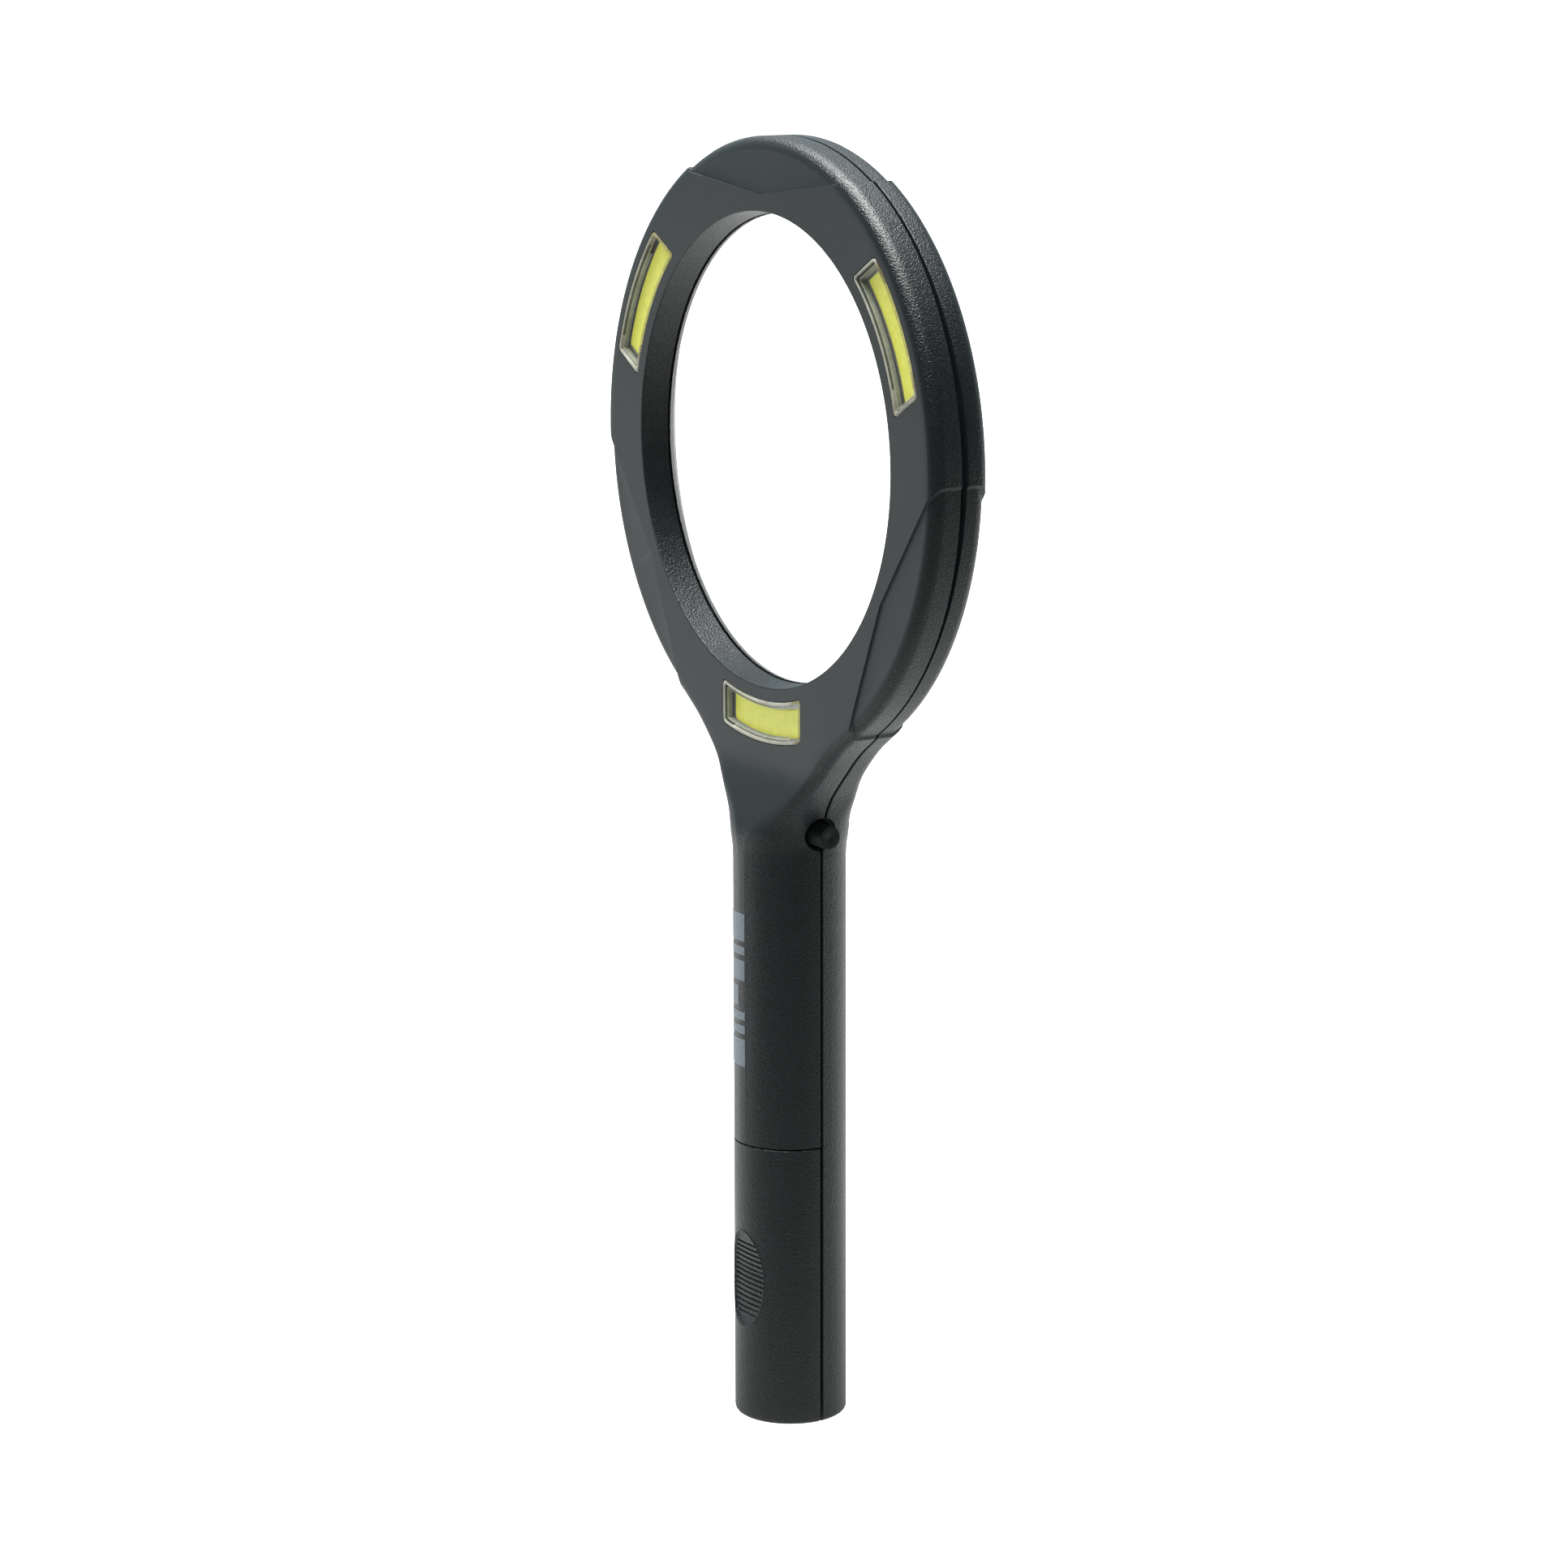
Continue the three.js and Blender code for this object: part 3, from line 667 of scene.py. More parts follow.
class Nodes(Tree):
    """A procedural material."""

    def __init__(self, name):
        self.material = bpy.data.materials.new(name)
        self.material.use_nodes = True
        super().__init__(self.material.node_tree, "Object")
        self.shader = self.tree.nodes["Principled BSDF"]

    def set(self, **values):
        for key, value in values.items():
            self.shader.inputs[SOCKETS[key]].default_value = value

    def colour(self, socket):
        self.link(socket, self.shader.inputs["Base Color"])

    def rough(self, socket):
        self.link(socket, self.shader.inputs["Roughness"])

    def bump(self, *layers):
        """layers: (height socket, strength, distance in millimetres)."""
        normal = None
        for height, strength, distance in layers:
            made = self.node("ShaderNodeBump")
            made.inputs["Distance"].default_value = distance * MM
            if isinstance(strength, (int, float)):
                made.inputs["Strength"].default_value = strength
            else:
                self.link(strength, made.inputs["Strength"])
            self.link(height, made.inputs["Height"])
            if normal is not None:
                self.link(normal, made.inputs["Normal"])
            normal = made.outputs["Normal"]
        self.link(normal, self.shader.inputs["Normal"])


def shell_plastic(name, faces_smooth):
    """Charcoal ABS: fine matt faces, coarser spark texture on the edges, walls and handle; the grain's pits
    carry painted shade and the surface has painted glints.
    """
    m = Nodes(name)
    coarse = m.math("ADD", m.noise(2500, 2.5, 0.6), m.math("MULTIPLY", m.cells(3100), -0.55))
    fine = m.noise(5200, 1.0)
    cloud = m.noise(38, 3.0, 0.55)
    # Pale flecks for the colour: painted glints on the grain.
    painted_glints = m.ramp(m.noise(2600, 0.0), [(0.0, 0.0), (0.70, 0.0), (0.80, 1.0)])
    if faces_smooth:
        normal = m.node("ShaderNodeTexCoord").outputs["Normal"]
        flat = m.span(m.math("ABSOLUTE", m.part(normal, "Y")), 0.84, 0.93)
        above = m.span(m.part(m.place, "Z"), 116.4 * MM, 118.6 * MM)
        flat = m.math("MULTIPLY", flat, above, clamp=True)
    else:
        flat = m.span(m.part(m.place, "Z"), 9.0, 10.0)
    rough_zone = m.math("SUBTRACT", 1.0, flat)
    grain = m.span(coarse, 0.02, 0.48)
    mottled = m.math("ADD", m.span(cloud, 0.35, 0.7), m.span(m.noise(2300, 2.0), 0.35, 0.65))
    blotch = m.math("MULTIPLY", mottled, 0.5)
    base = m.mix(blotch, (0.0066, 0.0122, 0.0138), (0.0122, 0.0190, 0.0208))
    # The grain's pits are painted darker and its crests lighter: painted shade on the grain.
    grain_with_painted_shade = m.mix(m.span(grain, 0.15, 0.85), (0.0020, 0.0028, 0.0032), (0.0150, 0.0186, 0.0196))
    colour = m.mix(rough_zone, base, m.mix(0.75, base, grain_with_painted_shade))
    # The pale grey mixed in here is the painted glints.
    m.colour(m.mix(m.math("MULTIPLY", painted_glints, 0.10), colour, (0.10, 0.11, 0.115)))
    shine = m.math("MULTIPLY", m.span(grain, 0.0, 1.0, 0.5, 1.0), m.math("MULTIPLY", rough_zone, -0.13))
    m.rough(m.math("ADD", m.span(cloud, 0.3, 0.7, 0.44, 0.50), shine))
    m.bump((fine, 0.35, 0.016), (coarse, m.span(rough_zone, 0.0, 1.0, 0.05, 1.0), 0.13))
    m.set(specular=0.5, ior=1.52)
    return m.material


LENS_SOLID = 0.12  # the rest of the light passes straight through


def lens_clear():
    m = Nodes("clear_lens")
    m.colour(m.mix(m.noise(30), (0.995, 1.0, 0.998), (1.0, 1.0, 1.0)))
    m.rough(m.span(m.noise(60), 0.0, 1.0, 0.0, 0.012))
    m.set(transmission=1.0, ior=1.49, specular=0.5, alpha=LENS_SOLID)
    return m.material


def window_clear(name, dark, light, alpha, rough):
    """Moulded clear plastic; thick edges look milky, the thin floor nearly vanishes."""
    m = Nodes(name)
    haze = m.math("ADD", m.noise(140, 2.0), m.math("MULTIPLY", m.noise(900, 2.0), 0.35))
    m.colour(m.mix(m.span(haze, 0.48, 0.85), dark, light))
    m.rough(m.span(haze, 0.4, 0.9, rough * 0.8, rough * 1.3))
    m.bump((m.noise(260, 1.0), 0.35, 0.04))
    m.set(alpha=alpha, ior=1.49, specular=0.5)
    return m.material


def phosphor():
    m = Nodes("phosphor_gel")
    mottled = m.noise(700, 3.0, 0.6)
    veins = m.cells(420)
    tone = m.mix(m.span(mottled, 0.3, 0.7), (0.640, 0.660, 0.040), (0.740, 0.750, 0.070))
    tone = m.mix(m.span(veins, 0.0, 0.12, 0.3, 0.0), tone, (0.42, 0.48, 0.03))
    m.colour(tone)
    # The gel's colour also feeds the emission: a painted glow, though the lights are off.
    m.link(tone, m.shader.inputs["Emission Color"])
    m.rough(m.span(mottled, 0.3, 0.7, 0.32, 0.45))
    m.bump((mottled, 0.3, 0.05))
    # The emission strength here is the painted glow.
    m.set(coat=0.15, coat_roughness=0.2, specular=0.3, emission=0.42)
    return m.material


def metal(name, dark, light, rough, stretch=(1, 1, 1)):
    m = Nodes(name)
    scale = 900
    streak = m.noise(scale, 3.0, 0.6, stretch)
    m.colour(m.mix(m.span(streak, 0.3, 0.7), dark, light))
    m.rough(m.span(m.noise(scale * 0.4, 2.0), 0.3, 0.7, rough * 0.8, rough * 1.25))
    m.bump((streak, 0.25, 0.01))
    m.set(metallic=1.0)
    return m.material


def plastic(name, dark, light, rough, grain=1800, depth=0.02, coat=0.0, specular=0.5):
    m = Nodes(name)
    tone = m.noise(90, 3.0)
    m.colour(m.mix(m.span(tone, 0.3, 0.7), dark, light))
    m.rough(m.span(m.noise(grain * 0.5, 2.0), 0.25, 0.75, rough * 0.88, rough * 1.12))
    m.bump((m.noise(grain, 2.0), 0.4, depth))
    m.set(coat=coat, specular=specular)
    return m.material


def cell_sleeve():
    """Printed sleeve with two plain bands; its bare metal ends take another material."""
    m = Nodes("cell_sleeve")
    wrinkle = m.noise(260, 3.0, 0.5, (1, 1, 4))
    z = m.math("MODULO", m.math("SUBTRACT", m.part(m.place, "Z"), 5.3 * MM), 50.6 * MM)
    band = m.math("MULTIPLY", m.math("GREATER_THAN", z, 36 * MM), m.math("LESS_THAN", z, 48.2 * MM))
    sleeve = m.mix(band, (0.030, 0.045, 0.085), (0.55, 0.30, 0.09))
    m.colour(m.mix(m.span(wrinkle, 0.4, 0.7, 0.0, 0.25), sleeve, (0.10, 0.12, 0.16)))
    m.rough(m.span(wrinkle, 0.3, 0.7, 0.22, 0.34))
    m.bump((wrinkle, 0.15, 0.05))
    m.set(coat=0.5, coat_roughness=0.12)
    return m.material


def circuit_board():
    m = Nodes("circuit_board")
    tracks = m.node("ShaderNodeTexBrick")
    tracks.inputs["Scale"].default_value = 420
    tracks.inputs["Mortar Size"].default_value = 0.03
    m.link(m.stretched((1, 1, 1)), tracks.inputs["Vector"])
    m.colour(m.mix(tracks.outputs["Fac"], (0.010, 0.085, 0.035), (0.035, 0.17, 0.075)))
    m.rough(m.span(m.noise(900), 0.3, 0.7, 0.28, 0.42))
    m.bump((tracks.outputs["Fac"], 0.4, 0.03))
    m.set(coat=0.4)
    return m.material


def printed_ink():
    m = Nodes("printed_ink")
    wear = m.noise(1500, 4.0, 0.7)
    m.colour(m.mix(m.span(wear, 0.35, 0.75), (0.20, 0.25, 0.29), (0.30, 0.36, 0.40)))
    m.rough(m.span(wear, 0.3, 0.7, 0.45, 0.6))
    m.bump((m.noise(1500, 2.0, 0.6), 0.5, 0.04))
    return m.material


looks = {
    "shell": shell_plastic("charcoal_shell", True),
    "door": shell_plastic("charcoal_door", False),
    "lens": lens_clear(),
    "tray_rim": window_clear("tray_rim", (0.46, 0.45, 0.37), (0.82, 0.81, 0.72), 0.60, 0.12),
    # The darker amber copy is painted shade for the right-facing sides, tinted by the gel behind.
    "tray_amber_painted_shade": window_clear("tray_amber_painted_shade", (0.16, 0.14, 0.05), (0.46, 0.41, 0.20), 0.52, 0.12),
    # The dark groove copy of the clear plastic is painted shade in the groove.
    "tray_groove_painted_shade": window_clear("tray_groove_painted_shade", (0.034, 0.046, 0.040), (0.085, 0.100, 0.086), 0.66, 0.20),
    # The whitish ridge edge copy is a painted highlight along the edge.
    "tray_edge_painted_highlight": window_clear("tray_edge_painted_highlight", (0.62, 0.61, 0.55), (0.80, 0.79, 0.72), 0.78, 0.14),
    "tray_wall": window_clear("tray_wall", (0.30, 0.33, 0.27), (0.50, 0.53, 0.45), 0.66, 0.14),
    "tray_floor": window_clear("tray_floor", (0.80, 0.82, 0.70), (0.92, 0.92, 0.85), 0.03, 0.06),
    "phosphor": phosphor(),
    "board_metal": metal("satin_board", (0.52, 0.53, 0.52), (0.70, 0.71, 0.70), 0.42, (1, 1, 6)),
    "button": plastic("button_plastic", (0.0060, 0.0085, 0.0090), (0.0080, 0.0108, 0.0114), 0.46, 3000, 0.006,
                      specular=0.4),
    "plunger": plastic("nylon", (0.62, 0.60, 0.54), (0.72, 0.70, 0.64), 0.45),
    "switch": plastic("switch_black", (0.012, 0.012, 0.013), (0.022, 0.022, 0.024), 0.42),
    "circuit_board": circuit_board(),
    "cell": cell_sleeve(),
    "cell_end": metal("cell_end", (0.55, 0.56, 0.58), (0.78, 0.78, 0.80), 0.24),
    "contact": metal("nickel_steel", (0.48, 0.49, 0.50), (0.74, 0.74, 0.75), 0.26, (1, 1, 8)),
    "red_wire": plastic("red_pvc", (0.42, 0.015, 0.012), (0.52, 0.025, 0.020), 0.32, 1400, 0.01, 0.2),
    "black_wire": plastic("black_pvc", (0.012, 0.012, 0.012), (0.022, 0.022, 0.022), 0.34, 1400, 0.01, 0.2),
    "screw": metal("zinc_screw", (0.20, 0.21, 0.23), (0.42, 0.43, 0.45), 0.34),
    "ink": printed_ink(),
}


def finish_piece(obj, body, slot, look=None, replaces=()):
    obj.data.materials.clear()
    obj.data.materials.append(looks[look or slot])
    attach(obj, body)
    if replaces:
        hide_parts(*replaces)
    return obj


def settle_shading(obj, angle=28.0):
    """Flat faces keep flat shading up to the edge of a rounding."""
    shade(obj, angle)
    return modifier(obj, "WEIGHTED_NORMAL", keep_sharp=True, weight=80)


# ---- front and rear shells ----
front = Shell(-1, FRONT_FACE, front_opening, INNER_WALL_R, DOOR_TOP + SEAM).build("front_shell_skin")
rear = Shell(1, REAR_FACE, rear_opening, FLARE_WALL_R, 0).build("rear_shell_skin")
for angle in PANELS:
    combine(front, panel_cutter(angle))
    combine(rear, panel_cutter(angle))
for angle in LIGHTS.values():
    outline = sector(WINDOW_IN - 0.12, WINDOW_OUT + 0.12, WINDOW_HALF + 0.12, 1.0, angle)
    combine(front, prism("aperture", outline, -9.0, -FRONT_FACE + WALL + 0.4))
combine(front, hole_cutter())
combine(rear, hole_cutter())
for x, z in ring_screws().values():
    seat = SCREW_SEAT_Y - 0.1
    recess = [(0, seat), (2.3, seat), (2.3, 5.75), (2.6, 6.3), (2.6, 12.0), (0, 12.0)]
    combine(rear, revolve("recess", recess, 48, about_y(x, z)))
finish_piece(settle_shading(front), "shell", "shell", replaces=("front_shell",))


def cradle(z, sign):
    """Half-round rib that holds a cell, let into the bore's wall."""
    inner_r, outer_r, thick, ease = 7.5, HANDLE_R - WALL + 0.25, 1.5, 0.15
    start = sign * PARTING_Y + 0.25
    low_in, low_out = math.asin(start / inner_r), math.asin(start / outer_r)
    sections = []
    for t in np.linspace(0, 1, 29):
        a = low_out + (math.pi - 2 * low_out) * t
        b = low_in + (math.pi - 2 * low_in) * t
        out = (outer_r * math.cos(a), sign * outer_r * math.sin(a))
        inn = (inner_r * math.cos(b), sign * inner_r * math.sin(b))
        sections.append([out + (z,), inn + (z + ease,), inn + (z + thick - ease,), out + (z + thick,)])
    return swept("rib", sections)


rear = joined("rear_shell_skin", [rear] + [cradle(z, 1) for z in (14.0, 40.0, 70.0, 96.0)])
finish_piece(settle_shading(rear), "shell", "shell", replaces=("rear_shell",))


# ---- battery door ----
GRIP_Z = 28.3
GRIP_HALF_Z = 9.65
GRIP_HALF_U = 5.75
GRIP_DEPTH = 1.15
RIB_PITCH = 1.0
RIB_COUNT = 15


def grip_cut(u, z):
    """Depth of the thumb grip below the handle's surface at arc length u and height z."""
    v = z - GRIP_Z
    rho = math.hypot(u / GRIP_HALF_U, v / GRIP_HALF_Z)
    if rho >= 1.03:
        return 0.0
    dish = GRIP_DEPTH * (1 - rho ** 2) ** 0.8 if rho < 1 else 0.0
    raised = 0.22 * math.exp(-((rho - 1.0) / 0.022) ** 2)
    wall = 0.16 * smooth((1.0 - rho) / 0.05)
    phase = (v / RIB_PITCH + 0.5) % 1.0
    groove = smooth((0.20 - abs(phase - 0.5)) / 0.10)
    inside = smooth((0.965 - rho) / 0.04) if abs(v) < RIB_PITCH * RIB_COUNT / 2 else 0.0
    return dish + wall + 0.36 * groove * inside - raised * 0.6


def battery_door():
    fine = list(np.arange(GRIP_Z - 10.3, GRIP_Z + 10.3, 0.145))
    levels = list(np.linspace(FOOT, fine[0], 8)[:-1]) + fine
    levels += list(np.linspace(fine[-1], DOOR_TOP - 0.12, 14)[1:])
    gap = half_gap(-75)
    start = -PARTING_Y + gap
    limit = math.degrees(math.pi / 2 - math.asin(start / HANDLE_R)) - 0.8
    turns = list(np.linspace(-limit, -37, 16)[:-1]) + list(np.linspace(-37, 37, 105))
    turns += list(np.linspace(37, limit, 16)[1:])
    rows = []

    def column(r, z, displaced):
        side = math.sqrt((r - 0.16) ** 2 - start ** 2)
        row = [(-side, -start, z)]
        scale = (90 - math.degrees(math.asin(start / r)) - 0.8) / limit
        for a in turns:
            t = math.radians(a * scale)
            rr = r - (grip_cut(HANDLE_R * t, z) if displaced else 0.0)
            row.append((rr * math.sin(t), -rr * math.cos(t), z))
        return row + [(side, -start, z)]

    for a in np.radians([90, 67.5, 45, 22.5]):
        rows.append(column(HANDLE_R - FOOT * (1 - math.cos(a)), FOOT * (1 - math.sin(a)), False))
    rows += [column(HANDLE_R, z, True) for z in levels]
    rows.append(column(HANDLE_R - 0.12, DOOR_TOP, False))
    inner_r = HANDLE_R - WALL
    inner_levels = [END_WALL] + list(np.linspace(END_WALL + 0.6, DOOR_TOP, len(rows) - 5))
    inner = [column(inner_r + 0.16, z, False) for z in inner_levels]
    for row in inner:
        for j in range(len(row)):
            x, y, z = row[j]
            length = math.hypot(x, y)
            row[j] = (x * inner_r / length, min(y * inner_r / length, -start), z)
    n = len(rows[0])
    verts = [p for row in rows for p in row] + [p for row in inner for p in row]
    base = len(rows) * n
    faces = grid_faces(len(rows), n) + grid_faces(len(inner), n, base, flip=True)
    top_out, top_in = (len(rows) - 1) * n, base + (len(inner) - 1) * n
    for j in range(n - 1):
        faces.append((top_out + j, top_out + j + 1, top_in + j + 1, top_in + j))
    for side, order in ((0, 1), (n - 1, -1)):
        for i in range(len(inner) - 1):
            k = i + len(rows) - len(inner)
            quad = (k * n + side, (k + 1) * n + side, base + (i + 1) * n + side, base + i * n + side)
            faces.append(quad[::order])
    skipped = len(rows) - len(inner)
    faces.append(tuple(range(n - 1, -1, -1)))
    faces.append(tuple(base + j for j in range(n)))
    left = [i * n for i in range(skipped, -1, -1)] + [i * n + n - 1 for i in range(skipped + 1)]
    faces.append(tuple(left) + (base + n - 1, base))
    skin = outward(mesh_object("door_skin", verts, faces))
    ribs = [cradle(z, -1) for z in (16.0, 42.0)]
    return joined("battery_door_skin", [skin] + ribs + [door_tongue()])


def door_tongue():
    """Flat tongue that slips under the front shell and keeps the door's top closed."""
    profile = [(7.95, 50.0), (8.9, 50.0), (8.9, 54.6), (8.35, 55.0), (8.35, 60.3), (7.95, 60.6)]
    turns = np.radians(np.linspace(-44, 44, 17))
    return swept("tongue", [[(r * math.sin(t), -r * math.cos(t), z) for r, z in profile] for t in turns])


door = battery_door()
finish_piece(door, "battery_door", "shell", "door", ("battery_door",))


# ---- lens ----
def lens():
    front_edge = LIP_Y + 0.15
    curve = (DOME_R ** 2 + LENS_SAG ** 2) / (2 * LENS_SAG)
    dome = [(r, math.sqrt(curve ** 2 - r ** 2) - curve + LENS_SAG) for r in np.linspace(0, DOME_R, 24)]
    face = [(r, front_edge - h) for r, h in dome]
    back = [(r, front_edge + LENS_EDGE + h) for r, h in dome]
    rim = [(LENS_R - 0.1, front_edge), (LENS_R, front_edge + 0.1), (LENS_R, front_edge + LENS_EDGE - 0.1)]
    rim.append((LENS_R - 0.1, front_edge + LENS_EDGE))
    return revolve("lens_body", face + rim + back[::-1], 240, about_y(0, RING_Z), angle=20)


finish_piece(lens(), "shell", "lens", replaces=("lens",))


# ---- lights ----
TRAY_LOOKS = ("tray_rim", "tray_groove_painted_shade", "tray_edge_painted_highlight", "tray_wall", "tray_floor", "tray_amber_painted_shade")
# Right-facing sides take the amber copy, painted shade tinted by the gel behind, and clear floor plastic for
# the rest; left sides take the groove's painted shade and the edge's painted highlight.
TRAY_SIDES = {"left": (0, 1, 2, 3), "end": (0, 0, 2, 3), "right": (5, 4, 4, 4)}


def window_tray(place, angle):
    """Clear tray: a rounded rim, a step and a thin floor over the light."""

    def loop(inset):
        round_r = max(1.0 - inset * 0.6, 0.25)
        return sector(WINDOW_IN + inset, WINDOW_OUT - inset, WINDOW_HALF - inset, round_r, angle)

    top = WINDOW_FRONT
    rows = [(0.0, WINDOW_BACK), (0.0, top + 0.32), (0.05, top + 0.14), (0.16, top + 0.03), (0.32, top)]
    rows += [(0.44, top), (0.54, top + 0.05), (0.60, top + 0.2), (0.66, top + 0.62), (0.98, top + 0.64)]
    rows += [(1.02, top + 0.46), (1.08, top + 0.42), (1.16, top + 0.46)]
    rows += [(1.22, top + 1.12), (1.34, top + 1.2), (1.54, top + 1.22)]
    obj = stacked("window_tray_" + place, [(loop(i), y) for i, y in rows])
    # Bands of rows: rim, groove (painted shade), ridge edge (painted highlight), inner wall.
    bands = [0] * 7 + [1, 1] + [2, 2, 2] + [3, 3, 3]
    count = len(loop(0.0))
    for name in TRAY_LOOKS:
        obj.data.materials.append(looks[name])
    for k, face in enumerate(obj.data.polygons):
        row = k // count
        if row >= len(bands):
            face.material_index = 4
            continue
        face.material_index = TRAY_SIDES[tray_side(face.center, angle)][bands[row]]
    return obj


def tray_side(centre, angle):
    """Which way a face of the tray's edge looks: left, right, or up or down (end)."""
    x, z = centre[0] / MM, centre[2] / MM - RING_Z
    turned = math.atan2(z, x)
    reach = (math.hypot(x, z) - (WINDOW_IN + WINDOW_OUT) / 2) / ((WINDOW_OUT - WINDOW_IN) / 2)
    swing = math.degrees((turned - math.radians(angle) + math.pi) % (2 * math.pi) - math.pi) / WINDOW_HALF
    if abs(reach) > abs(swing):
        outward_x = math.cos(turned) * math.copysign(1, reach)
    else:
        outward_x = -math.sin(turned) * math.copysign(1, swing)
    return "left" if outward_x < -0.5 else "right" if outward_x > 0.5 else "end"


def gel(place, angle):
    """Phosphor gel over the light chips, with a soft crowned edge."""
    base = -4.2

    def loop(inset):
        return sector(49.1 + inset, 54.6 - inset, 12.3 - inset, max(0.7 - inset * 0.5, 0.2), angle)

    rows = [(0.0, base), (0.0, base - 0.22), (0.06, base - 0.32), (0.2, base - 0.38), (0.5, base - 0.41)]
    return stacked("phosphor_gel_" + place, [(loop(i), y) for i, y in rows])


def light_board(place, angle):
    """Thin metal board under the gel, with eased edges."""
    front_y, ease, thick = -4.15, 0.08, 1.0

    def loop(inset):
        return sector(47.95 + inset, 55.35 - inset, 13.45 - inset, max(0.5 - inset * 0.4, 0.15), angle)

    rows = [(ease, thick), (0.0, thick - ease), (0.0, ease), (ease, 0.0)]
    return stacked("light_board_" + place, [(loop(i), front_y + y) for i, y in rows])


for place, angle in LIGHTS.items():
    tray = window_tray(place, angle)
    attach(tray, "shell")
    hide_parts("window_" + place)
    finish_piece(gel(place, angle), "shell", "phosphor", replaces=("led_strip_" + place,))
    finish_piece(light_board(place, angle), "shell", "board_metal", replaces=("led_board_" + place,))


# ---- push button ----
def cap():
    path = [(0, BUTTON_INNER), (3.1, BUTTON_INNER), (3.1, BUTTON_INNER + 0.8), (BUTTON_R, BUTTON_INNER + 0.8)]
    path += [(BUTTON_R, BUTTON_END), (1.6, BUTTON_END), (0, BUTTON_END)]
    body = rounded(path, [0.1, 0.15, 0.1, 0.14, 0], 4)
    dimple = [(0.55, BUTTON_END), (0.45, BUTTON_END - 0.04), (0.3, BUTTON_END - 0.07)]
    dimple.append((0, BUTTON_END - 0.08))
    return revolve("button_cap_skin", body[:-2] + dimple, 96, about_button, angle=40)


finish_piece(cap(), "button", "button", replaces=("button_cap",))


# ---- screws ----
def screw(name, x, z):
    seat, tip = SCREW_SEAT_Y, -2.8
    path = [(0, tip), (0.35, tip + 0.15), (1.0, tip + 1.2)]
    y = tip + 1.4
    while y < seat - 0.9:
        path += [(0.85, y), (1.1, y + 0.22), (0.85, y + 0.44)]
        y += 0.62
    path += [(0.95, seat - 0.3), (1.0, seat), (2.1, seat), (2.2, seat + 0.1), (2.2, seat + 0.75)]
    path += [(2.05, seat + 1.05), (1.6, seat + 1.25), (0, seat + 1.3)]
    body = revolve(name, path, 48, about_y(x, z))
    for turn in (0.35, 0.35 + math.pi / 2):
        c, s = math.cos(turn), math.sin(turn)
        slot = [(-1.3, -0.24), (1.3, -0.24), (1.3, 0.24), (-1.3, 0.24)]
        slot = [(x + c * u - s * v, z + s * u + c * v) for u, v in slot]
        combine(body, prism("slot", slot, seat + 0.55, seat + 3))
    return body


for name, (x, z) in ring_screws().items():
    finish_piece(screw(name + "_skin", x, z), "shell", "screw", replaces=(name,))


# ---- cells and contacts ----
CELL_R = 7.25


def battery(name, base):
    top = base + 49.5
    path = [(0, base), (6.4, base), (6.9, base + 0.1), (CELL_R, base + 0.5), (CELL_R, top - 0.5)]
    path += [(6.95, top - 0.1), (6.5, top), (6.3, top - 0.25), (3.1, top - 0.25), (2.8, top)]
    path += [(2.75, top + 0.8), (2.5, top + 1.0), (0, top + 1.0)]
    obj = revolve(name, path, 72, about_handle)
    obj.data.materials.append(looks["cell"])
    obj.data.materials.append(looks["cell_end"])
    for p in obj.data.polygons:
        r = math.hypot(p.center.x, p.center.y) / MM
        p.material_index = 0 if r > 6.7 else 1
    return obj


for name, base in (("battery_lower", 5.3), ("battery_upper", 55.9)):
    obj = battery(name + "_skin", base)
    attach(obj, "shell")
    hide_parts(name)


def tube(name, path, radius, sides):
    """A round closed tube along a path of millimetre points."""
    points = [Vector(p) for p in path]
    sections = []
    normal = None
    for i, p in enumerate(points):
        tangent = (points[min(i + 1, len(points) - 1)] - points[max(i - 1, 0)]).normalized()
        if normal is None:
            normal = tangent.orthogonal().normalized()
        normal = (normal - tangent * normal.dot(tangent)).normalized()
        other = tangent.cross(normal)
        turns = [2 * math.pi * k / sides for k in range(sides)]
        sections.append([tuple(p + (normal * math.cos(a) + other * math.sin(a)) * radius) for a in turns])
    return swept(name, sections, angle=50)


def coil_point(t):
    """The spring's middle line after t turns; it narrows as it climbs."""
    r, a = 5.4 - 0.97 * t, 2 * math.pi * t
    return (r * math.cos(a), r * math.sin(a), 2.85 + 0.62 * t)


coil = [coil_point(t) for t in np.linspace(0, 3, 110)]
finish_piece(tube("spring_coil", coil, 0.33, 12), "shell", "contact", replaces=("negative_spring",))

inner_looks = {"switch_plunger": "plunger", "switch_body": "switch", "driver_board": "circuit_board",
               "series_resistor": "switch", "negative_strip": "contact", "positive_contact": "contact",
               "led_wire_red": "red_wire", "led_wire_black": "black_wire",
               "battery_wire_positive": "red_wire", "battery_wire_negative": "black_wire"}
for name, look in inner_looks.items():
    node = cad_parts[name]
    node.data.materials.clear()
    node.data.materials.append(looks[look])
    node.data.polygons.foreach_set("use_smooth", [True] * len(node.data.polygons))
    node.data.set_sharp_from_angle(angle=math.radians(35))


# ---- printed mark: a plain row of bars ----
BARS = ((5.4, -30, 6), (1.6, -30, 6), (1.6, -30, 6), (4.0, -30, -6),
        (4.0, -22, 6), (1.6, -30, 6), (5.4, -30, 6))


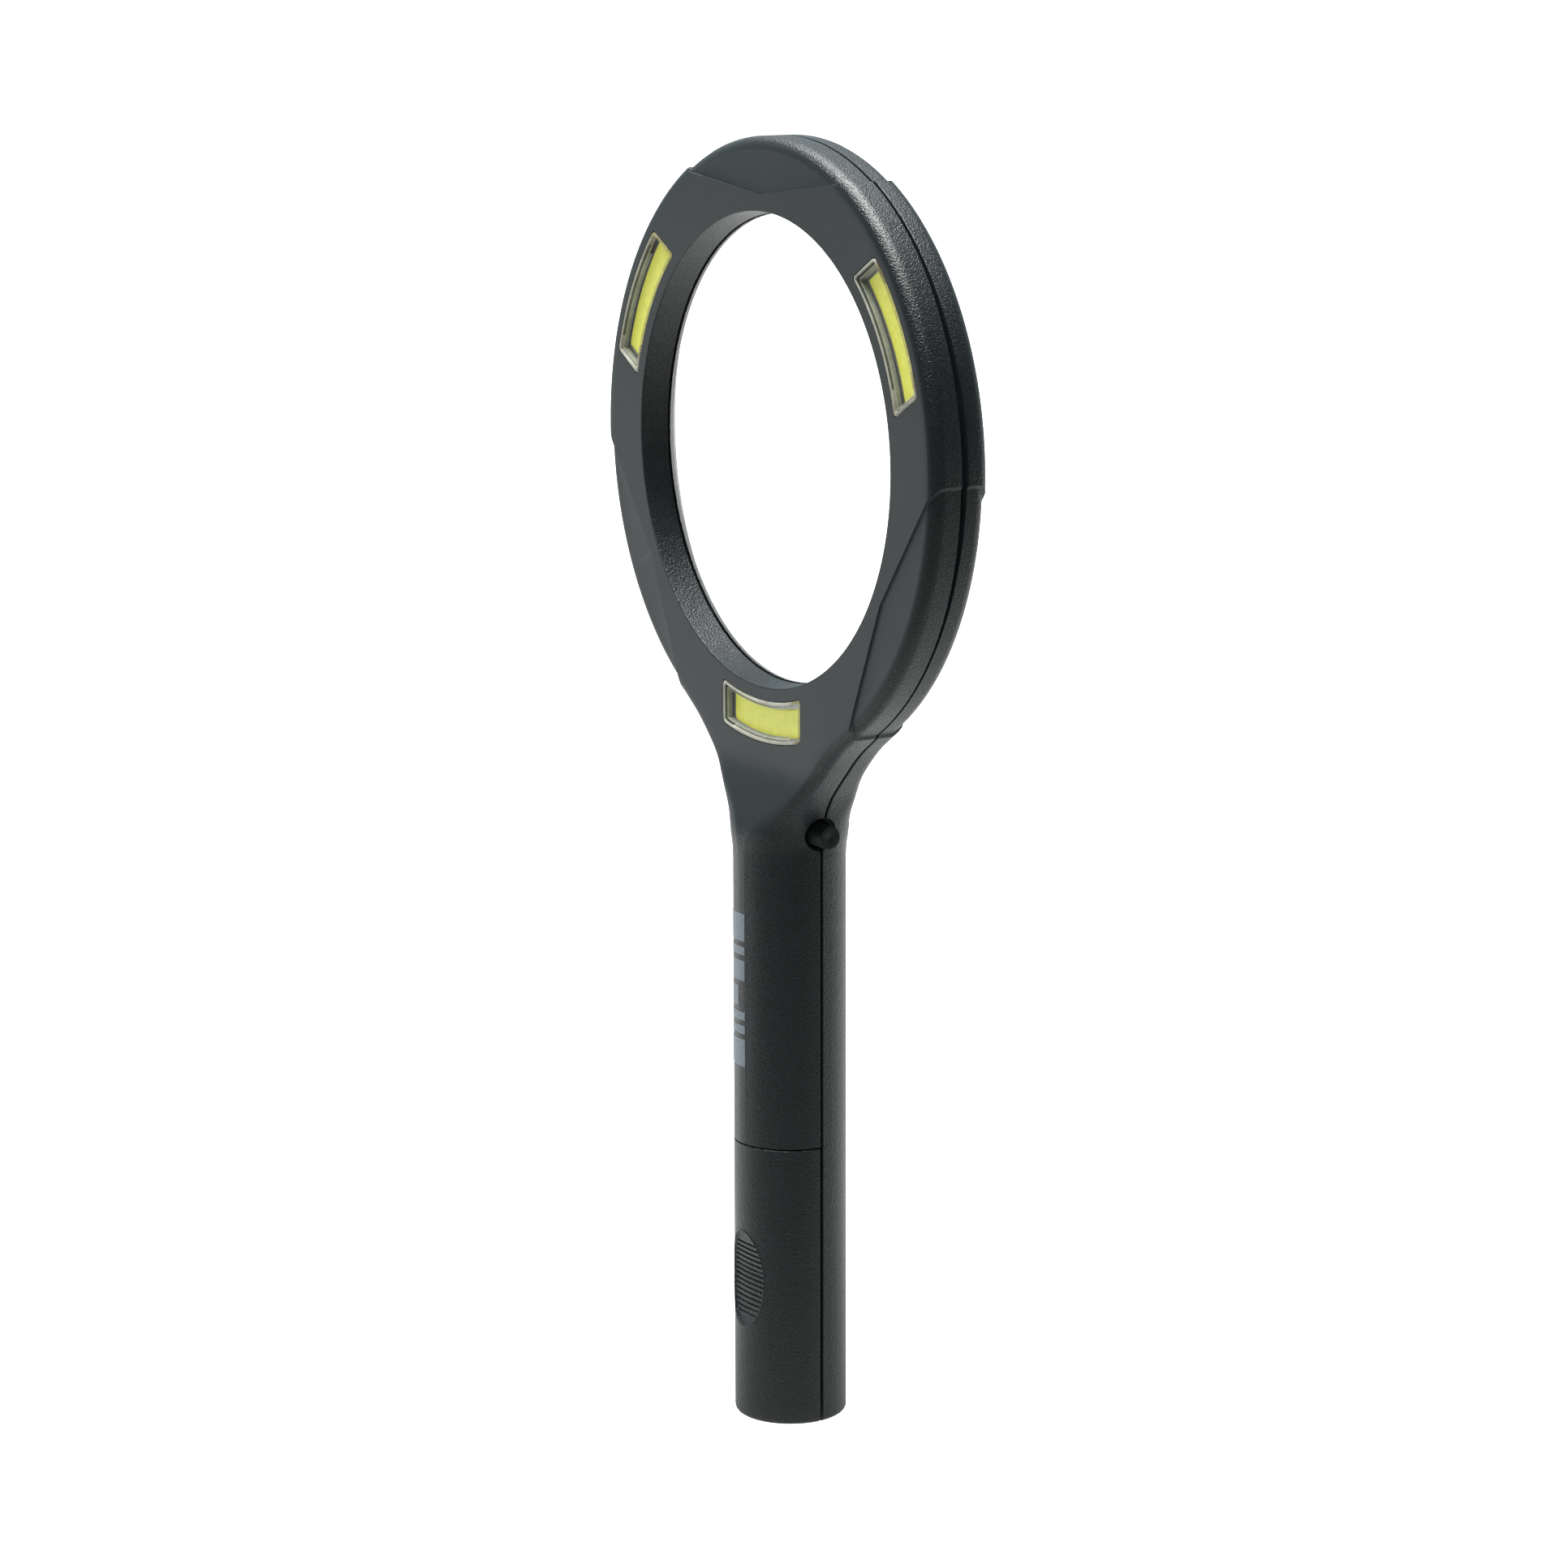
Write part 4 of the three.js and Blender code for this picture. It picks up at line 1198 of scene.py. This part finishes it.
def printed_bars():
    """Thin bars up the handle; each has a length and the two angles that it spans."""
    pieces = []
    r, z = HANDLE_R + 0.004, 71.0
    for length, low, high in BARS:
        edge = ((r, z), (r + 0.03, z + 0.02), (r + 0.03, z + length - 0.02), (r, z + length))
        turns = np.radians(np.linspace(low, high, 13))
        sections = [[(rr * math.sin(t), -rr * math.cos(t), zz) for rr, zz in edge] for t in turns]
        pieces.append(swept("bar", sections))
        z += length + 1.1
    return joined("printed_bars", pieces)


finish_piece(printed_bars(), "shell", "shell", "ink")


# ---- stage ----
FLOOR_Z = -0.02
FLOOR_HALF = 4000
BACKDROP = 1.3  # how white the camera sees the surroundings and the floor
SURROUND = 0.77
DARK_LEVEL = 0.012
DARK_AZIMUTH = 57
DARK_RISE = 0.22
CEILING = 0.3
FLOOR_GLOW = 1.15
SURROUND_TINT = (0.77, 0.95, 1.0)


def floor():
    """A pale floor, brightest behind the object, that the camera sees as plain white."""
    mesh = bpy.data.meshes.new("floor")
    h = FLOOR_HALF
    sides = ((-h, -h), (h, -h), (h, h), (-h, h))
    mesh.from_pydata([(x * MM, y * MM, FLOOR_Z * MM) for x, y in sides], [], [(0, 1, 2, 3)])
    obj = bpy.data.objects.new("floor", mesh)
    bpy.context.scene.collection.objects.link(obj)
    m = Nodes("floor")
    m.colour(m.mix(m.noise(3.0), (0.115, 0.115, 0.115), (0.125, 0.125, 0.125)))
    m.set(roughness=0.9, specular=0.1)
    lit = m.span(m.towards_dark(0), -0.12, 0.12, FLOOR_GLOW, 0.0)
    white = m.math("MULTIPLY", m.unbounced(), BACKDROP)
    m.link(m.math("ADD", lit, white), m.shader.inputs["Emission Strength"])
    m.shader.inputs["Emission Color"].default_value = (1, 1, 1, 1)
    mesh.materials.append(m.material)


floor()


def top_box(azimuth, elevation, distance, size, power):
    """A square light over the object; azimuth is turned from the front (-Y) towards +X."""
    light = bpy.data.lights.new("top_box", "AREA")
    light.size, light.energy = size, power
    obj = bpy.data.objects.new("top_box", light)
    a, e = math.radians(azimuth), math.radians(elevation)
    away = Vector((math.sin(a) * math.cos(e), -math.cos(a) * math.cos(e), math.sin(e)))
    obj.location = Vector((0, 0, 0.13)) + away * distance
    obj.rotation_euler = away.to_track_quat("Z", "Y").to_euler()
    bpy.context.scene.collection.objects.link(obj)


top_box(-60, 82, 1.2, 0.8, 40)


def studio_world():
    """White surroundings that fall off to a dark side, as the black flags of a light tent do."""
    world = bpy.data.worlds.new("studio")
    world.use_nodes = True
    m = Tree(world.node_tree, "Generated")
    background = m.tree.nodes["Background"]
    side = m.span(m.towards_dark(DARK_RISE), -0.98, 0.12, SURROUND, DARK_LEVEL, "SMOOTHSTEP")
    ceiling = m.span(m.part(m.place, "Z"), 0.6, 0.95, 0.0, CEILING, "SMOOTHSTEP")
    seen = m.unbounced()
    level = m.node("ShaderNodeMix", data_type="FLOAT")
    m.link(seen, level.inputs[0])
    m.link(m.math("ADD", side, ceiling), level.inputs[2])
    level.inputs[3].default_value = BACKDROP
    m.link(level.outputs[0], background.inputs["Strength"])
    m.link(m.mix(seen, SURROUND_TINT, (1, 1, 1)), background.inputs["Color"])
    bpy.context.scene.world = world


studio_world()
bpy.context.scene.view_settings.view_transform = "Standard"

# ---- camera ----
CAMERA_PLACE = (717.45, -441.92, 290.60)
CAMERA_AZIMUTH = 58.368
CAMERA_PITCH = 11.091
CAMERA_YAW = 0.07
CAMERA_ROLL = -0.148
CAMERA_LENS = 102.63

camera = bpy.data.cameras.new("camera")
camera.lens, camera.sensor_width = CAMERA_LENS, 36.0
camera.clip_start, camera.clip_end = 0.01, 50
camera_object = bpy.data.objects.new("camera", camera)
heading = math.radians(CAMERA_AZIMUTH + CAMERA_YAW)
pitch, roll = math.radians(CAMERA_PITCH), math.radians(CAMERA_ROLL)
level = Vector((-math.sin(heading), math.cos(heading), 0))
forward = level * math.cos(pitch) - Vector((0, 0, math.sin(pitch)))
right = forward.cross(Vector((0, 0, 1))).normalized()
up = right.cross(forward)
right, up = right * math.cos(roll) + up * math.sin(roll), up * math.cos(roll) - right * math.sin(roll)
matrix = Matrix((right, up, -forward)).transposed().to_4x4()
matrix.translation = Vector(CAMERA_PLACE) * MM
camera_object.matrix_world = matrix
bpy.context.scene.collection.objects.link(camera_object)
bpy.context.scene.camera = camera_object
